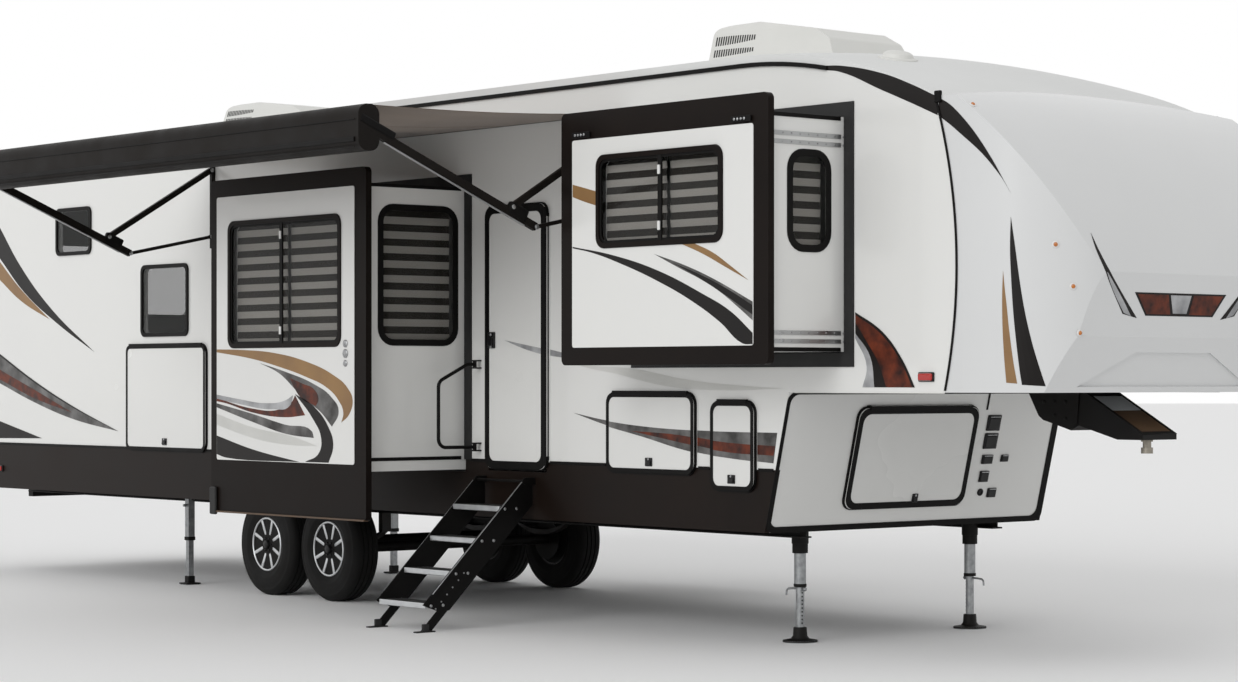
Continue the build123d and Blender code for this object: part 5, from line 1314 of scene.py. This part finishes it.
# %% Landing legs
FOOT_PROFILE = [(0.108, 0.0), (0.111, 0.004), (0.110, 0.013), (0.060, 0.022), (0.046, 0.040), (0.043, 0.088),
                (0.041, 0.094), (0.028, 0.095)]
COLLAR_PROFILE = [(0.0382, 0.560), (0.050, 0.562), (0.050, 0.620), (0.054, 0.622), (0.054, 0.735), (0.040, 0.737)]
LEG_X, PIN_Z, PIN_HOLES, HOLE_STEP = 4.880, 0.335, 9, 0.024
legs_low, legs_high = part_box("landing_legs")
LEG_Y = (legs_high[1] - legs_low[1]) / 2 - 0.110
collars, feet, pins, holes = [], [], [], []
for side in (-1, 1):
    foot_place = Matrix.Translation(at(LEG_X, side * LEG_Y, 0))
    feet.append(turned("foot", foot_place, FOOT_PROFILE, 40))
    collars.append(turned("collar", foot_place, COLLAR_PROFILE, 32))
    collars.append(turned("ring", foot_place, [(0.0276, 0.346), (0.041, 0.348), (0.041, 0.366), (0.038, 0.368)], 32))
    reach = [at(LEG_X + side * x, side * LEG_Y, z) for x, z in
             ((-0.045, PIN_Z), (0.070, PIN_Z), (0.115, 0.331), (0.128, 0.318), (0.131, 0.290))]
    pins += [rod("pin", a, b, 0.0065, 10) for a, b in zip(reach, reach[1:])]
    pins.append(turned("knob", along(at(LEG_X - 0.040 * side, side * LEG_Y, PIN_Z), (-side, 0, 0)),
                       [(0.013, 0), (0.014, 0.006), (0.010, 0.014), (0.001, 0.015)], 16))
    for i in range(PIN_HOLES):
        holes.append(along(at(LEG_X - 0.0262 * side, side * LEG_Y - 0.006, 0.120 + HOLE_STEP * i), (-side, 0, 0)))
fit("leg collars", collars, CHASSIS, "trailer", smooth=35)
fit("leg feet", feet, CHASSIS, "trailer", smooth=35)
fit("leg pull pins", pins, ZINC, "trailer", smooth=40)
# The holes in the drop leg are small black domes: their black is painted shade.
screws("leg pin hole shades", holes, 0.006, "trailer", RIM_PAINT)
print("landing legs dressed")

# %% Rear jacks
jack_low, jack_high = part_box("rear_stabilisers")
JACK_X, JACK_Y = -2.300, (jack_high[1] - jack_low[1]) / 2 - 0.055
shoes, cranks = [], []
for side in (-1, 1):
    for part_name, z, size, ease in (("shoe", 0.010, (0.128, 0.128, 0.012), 0.004),
                                     ("socket", 0.040, (0.062, 0.062, 0.060), 0.006),
                                     ("clamp", 0.372, (0.066, 0.066, 0.030), 0.005)):
        shoes.append(block(part_name, at(JACK_X, side * JACK_Y, z), size, ease))
    cranks.append(rod("crank", at(JACK_X, side * (JACK_Y + 0.020), 0.640), at(JACK_X, side * (JACK_Y + 0.060), 0.640),
                      0.011, 12))
fit("jack shoes", shoes, CHASSIS, "trailer")
fit("jack cranks", cranks, ZINC, "trailer", smooth=40)
print("rear jacks dressed")

# %% [markdown]
# ## Coupling
# The pin box is a welded box that slopes forward from the deck to the kingpin.  Its upper plate is paler, its edges
# are welded flanges, and bolts hold it between two side plates.

# %% Pin box
PIN_X, PLATE_Z, PIN_HALF = 7.120, 1.300, 0.150
top = Vector((PIN_X - 0.370, 0, 1.580))
tip = Vector((PIN_X + 0.100, 0, PLATE_Z + 0.030))
face = plane(at(tip.x, 0, tip.z), (0, 1, 0), (top.x - tip.x, 0, top.z - tip.z))
length = (top - tip).length


def across(half, v0, v1):
    """A sharp rectangle across the pin box's sloping face."""
    return sharp((-half, v0), (half, v0), (half, v1), (-half, v1))


plates = [cut("flange", [across(PIN_HALF, 0.0, length), across(PIN_HALF - 0.020, 0.030, length - 0.05)],
              face, GAP, 0.006)]
for side in (-1, 1):
    cheek = side_plane(side, PIN_HALF)
    line = [(PIN_X - 0.800, 1.575), (PIN_X - 0.705, 1.415), (PIN_X - 0.624, 1.395), (PIN_X - 0.475, 1.355),
            (PIN_X - 0.420, 1.385), (PIN_X - 0.400, 1.575)]
    plates.append(cut("cheek", [sharp(*as_uv(side, line))], cheek, GAP, 0.008))
fit("pin box plates", plates, CHASSIS, "trailer")
for name, v0, v1, paint in (("pale plate", 0.300, length - 0.06, PIN_PLATE),
                            ("bronze plate", 0.034, 0.292, BRONZE_TRIM)):
    plate = cut(name, [across(PIN_HALF - 0.022, v0, v1)], face, GAP, 0.003)
    dress(plate, paint, "trailer")
places = [along(at(PIN_X + x, side * (PIN_HALF + 0.008), z), (0, side, 0)) for side in (-1, 1)
          for x, z in ((-0.690, 1.52), (-0.600, 1.52), (-0.510, 1.52), (-0.600, 1.44), (-0.510, 1.42))]
screws("pin box bolts", places, 0.013, "trailer", CHASSIS)
print("coupling dressed")

# %% [markdown]
# ## Roof
# The shrouds of the air conditioners have louvred slots at their rear: two tapering rows on each side, and three
# rows across the back, each drawn as a black block whose black is painted shade in the opening.  A low dome stands near
# the front, and vents and pipes stand along the roof.

# %% Louvres
UNITS = [("front_air_conditioner", 3.470, 4.750, 0.320), ("rear_air_conditioner", -2.900, -1.620, 0.230)]
CROWN_Z = 3.7303
SLOTS, SLOT_STEP = 17, 0.0245
# Each slot is a black block laid on the shroud: painted shade in the louvre's opening.
slot_shades = []
for name, x0, x1, height in UNITS:
    target = NODES[name]
    for side in (-1, 1):
        for low, high in ((0.30, 0.46), (0.54, 0.74)):
            for i in range(SLOTS):
                x = x0 + 0.055 + SLOT_STEP * i
                taper = 1 - 0.45 * (i / (SLOTS - 1)) ** 2
                middle, tall = (low + high) / 2 * height, (high - low) * height * taper
                place, normal = onto(target, at(x, side * 0.45, CROWN_Z + middle), Vector((0, -side, 0)))
                slot_shades.append(block("slot", along(place, normal, (1, 0, 0)), (0.013, tall, 0.004), 0.0015))
    for i in range(11):
        for row in range(3):
            place, normal = onto(target, at(x0 - 0.2, -0.250 + 0.050 * i, CROWN_Z + height * (0.26 + 0.22 * row)),
                                 Vector((1, 0, 0)))
            slot_shades.append(block("slot", along(place, normal, (0, 1, 0)), (0.036, 0.14 * height, 0.004), 0.0015))
fit("shroud louvres", slot_shades, SEAL, "trailer")
print("louvre slots", len(slot_shades))

# %% Roof vents
ABOVE_ROOF = 6


def roof_at(x, y):
    """The place and the outward direction of the roof above a point."""
    _, place, slope, _ = NODES["roof"].ray_cast(at(x, y, ABOVE_ROOF), Vector((0, 0, -1)))
    return place, slope


vents, necks = [], []
for x, y, size in ((1.900, -0.30, 0.36), (-0.400, 0.35, 0.36), (-4.200, -0.20, 0.30)):
    base, _ = roof_at(x, y)
    vents.append(block("lid", Matrix.Translation(base + Vector((0, 0, 0.048))), (size, size, 0.030), 0.012))
    necks.append(block("neck", Matrix.Translation(base + Vector((0, 0, 0.018))), (size * 0.9, size * 0.9, 0.040),
                       0.004))
fit("roof vent lids", vents, SHROUD, "trailer")
fit("roof vent necks", necks, SHROUD, "trailer")
pipes = []
for x, y in ((2.700, 0.60), (-3.300, 0.70)):
    pipes.append(turned("pipe", Matrix.Translation(roof_at(x, y)[0]), [
        (0.040, -0.004), (0.040, 0.006), (0.026, 0.010), (0.026, 0.070), (0.042, 0.074), (0.042, 0.092),
        (0.020, 0.104), (0.001, 0.105)], 24))
pipes.append(turned("dome", along(*roof_at(5.780, -0.76)), [
    (0.120, -0.004), (0.120, 0.006), (0.095, 0.014), (0.088, 0.034), (0.070, 0.044), (0.040, 0.050),
    (0.001, 0.051)], 40))
fit("roof vent pipes", pipes, SHROUD, "trailer", smooth=40)
print("roof vents", len(vents) + len(pipes))

# %% [markdown]
# ## Rear and off side
# The sides the photograph hides are finished in the same family of parts: the same vinyl curves mirrored onto the
# off side, the same edge trims round its storage door, and lamps and trims on the rear wall.

# %% Off side stripes and lid
for number, (name, *looks) in enumerate(WALL_STRIPES):
    if name != "pale line":
        stripe(f"off {name} stripe", *looks, 1, HALF, STRIPE_STEP * number)
for body, name, layer, *looks in SLIDE_STRIPES:
    if body == "mid_slide":
        stripe(f"off side slide {name}", *looks, *SLIDE_FACES["off_side_slide"][:2],
               PANEL_THICK + LAYER_STEP * layer, "off_side_slide")
print("off side striped")

# %% Rear wall
REAR_X, LAMP_Y = -5.290, 1.080
rear = plane(at(REAR_X, 0, 0), (0, -1, 0), (0, 0, 1))
lamp_rims, bulbs = [], []
for y in (-LAMP_Y, LAMP_Y):
    rim = (y - 0.064, y + 0.064, 1.180, 1.520)
    lamp_rims.append(cut("rim", [rounded(*rim, 0.016), rounded(*rim, 0.010, 0.008)], rear, GAP, 0.016))
    for z, width, tall in ((1.270, 0.100, 0.006), (1.350, 0.100, 0.006), (1.430, 0.100, 0.006), (1.225, 0.070, 0.040)):
        bulbs.append(block("rib", at(REAR_X - 0.0262, y, z), (0.003, width, tall), 0.001))
fit("tail lamp rims", lamp_rims, FRAME_BLACK)
fit("tail lamp ribs", bulbs, RED_LENS, "trailer")
top_lamps = [block("lamp", at(REAR_X - 0.0075, y, 3.430), (0.014, 0.110, 0.030), 0.004)
             for y in (-0.9, -0.2, 0, 0.2, 0.9)]
fit("rear marker lamps", top_lamps, RED_LENS, "trailer")
dress(block("rear wall moulding", at(REAR_X - 0.0016, 0, 3.330), (0.003, 2.30, 0.014), 0.001), FRAME_BLACK)
print("rear wall dressed")

# %% Lips under the living room faces
for body, side in (("mid_slide", -1), ("off_side_slide", 1)):
    low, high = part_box(f"{body}_fascia")
    y = low[1] + 0.006 if side < 0 else high[1] - 0.006
    x, length = (low[0] + high[0]) / 2, high[0] - low[0]
    lip = block("lip", (x, y, low[2] + 0.006), (length - 0.012, 0.016, 0.012), 0.003)
    wedge = block("wedge", (x, y - side * 0.020, low[2] + 0.003), (length - 0.030, 0.030, 0.006), 0.002)
    fit(f"{body} bottom lip", [lip, wedge], BRONZE_TRIM, body)
print("bottom lips", 2)

# %% [markdown]
# ## Floor and light
# A pale floor under plain studio light.  The world is an even soft grey for the object and white for the camera,
# and one broad sun from the front of the door side gives the shapes their shading.

# %% Floor and light
floor = fresh("studio floor", bpy.ops.mesh.primitive_plane_add, size=400, location=(0, 0, 0))
floor_finish = bpy.data.materials.new("pale_studio_floor")
floor_finish.use_nodes = True
floor_shader = floor_finish.node_tree.nodes["Principled BSDF"]
floor_shader.inputs["Base Color"].default_value = linear("#FAFAFA")
floor_shader.inputs["Roughness"].default_value = 0.9
floor.data.materials.append(floor_finish)
floor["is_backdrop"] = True

world = bpy.data.worlds.new("studio")
world.use_nodes = True
bpy.context.scene.world = world
sky = world.node_tree
sky.nodes.clear()
rays = add(sky, "ShaderNodeLightPath", {})
SOFT_LIGHT, WHITE_LIGHT = 0.66, 1.0
seen = add(sky, "ShaderNodeMath", {0: rays.outputs["Is Camera Ray"], 1: rays.outputs["Is Glossy Ray"]},
           operation="MAXIMUM")
seen = add(sky, "ShaderNodeMath", {0: seen.outputs[0], 1: rays.outputs["Is Transmission Ray"]}, operation="MAXIMUM")
soft = add(sky, "ShaderNodeBackground", {"Color": (1, 1, 1, 1), "Strength": SOFT_LIGHT})
white = add(sky, "ShaderNodeBackground", {"Color": (1, 1, 1, 1), "Strength": WHITE_LIGHT})
either = add(sky, "ShaderNodeMixShader", {"Fac": seen.outputs[0], 1: soft.outputs[0], 2: white.outputs[0]})
add(sky, "ShaderNodeOutputWorld", {"Surface": either.outputs[0]})

bpy.ops.object.light_add(type="SUN", location=at(8, -12, 12), rotation=(radians(66), 0, radians(14)))
sun = bpy.context.object
SUN_STRENGTH, SUN_SPREAD = 0.95, radians(32)
sun.data.energy, sun.data.angle = SUN_STRENGTH, SUN_SPREAD
bpy.context.scene.view_settings.view_transform = "Standard"
print("studio lit")

# %% The object's bounds
low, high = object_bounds()
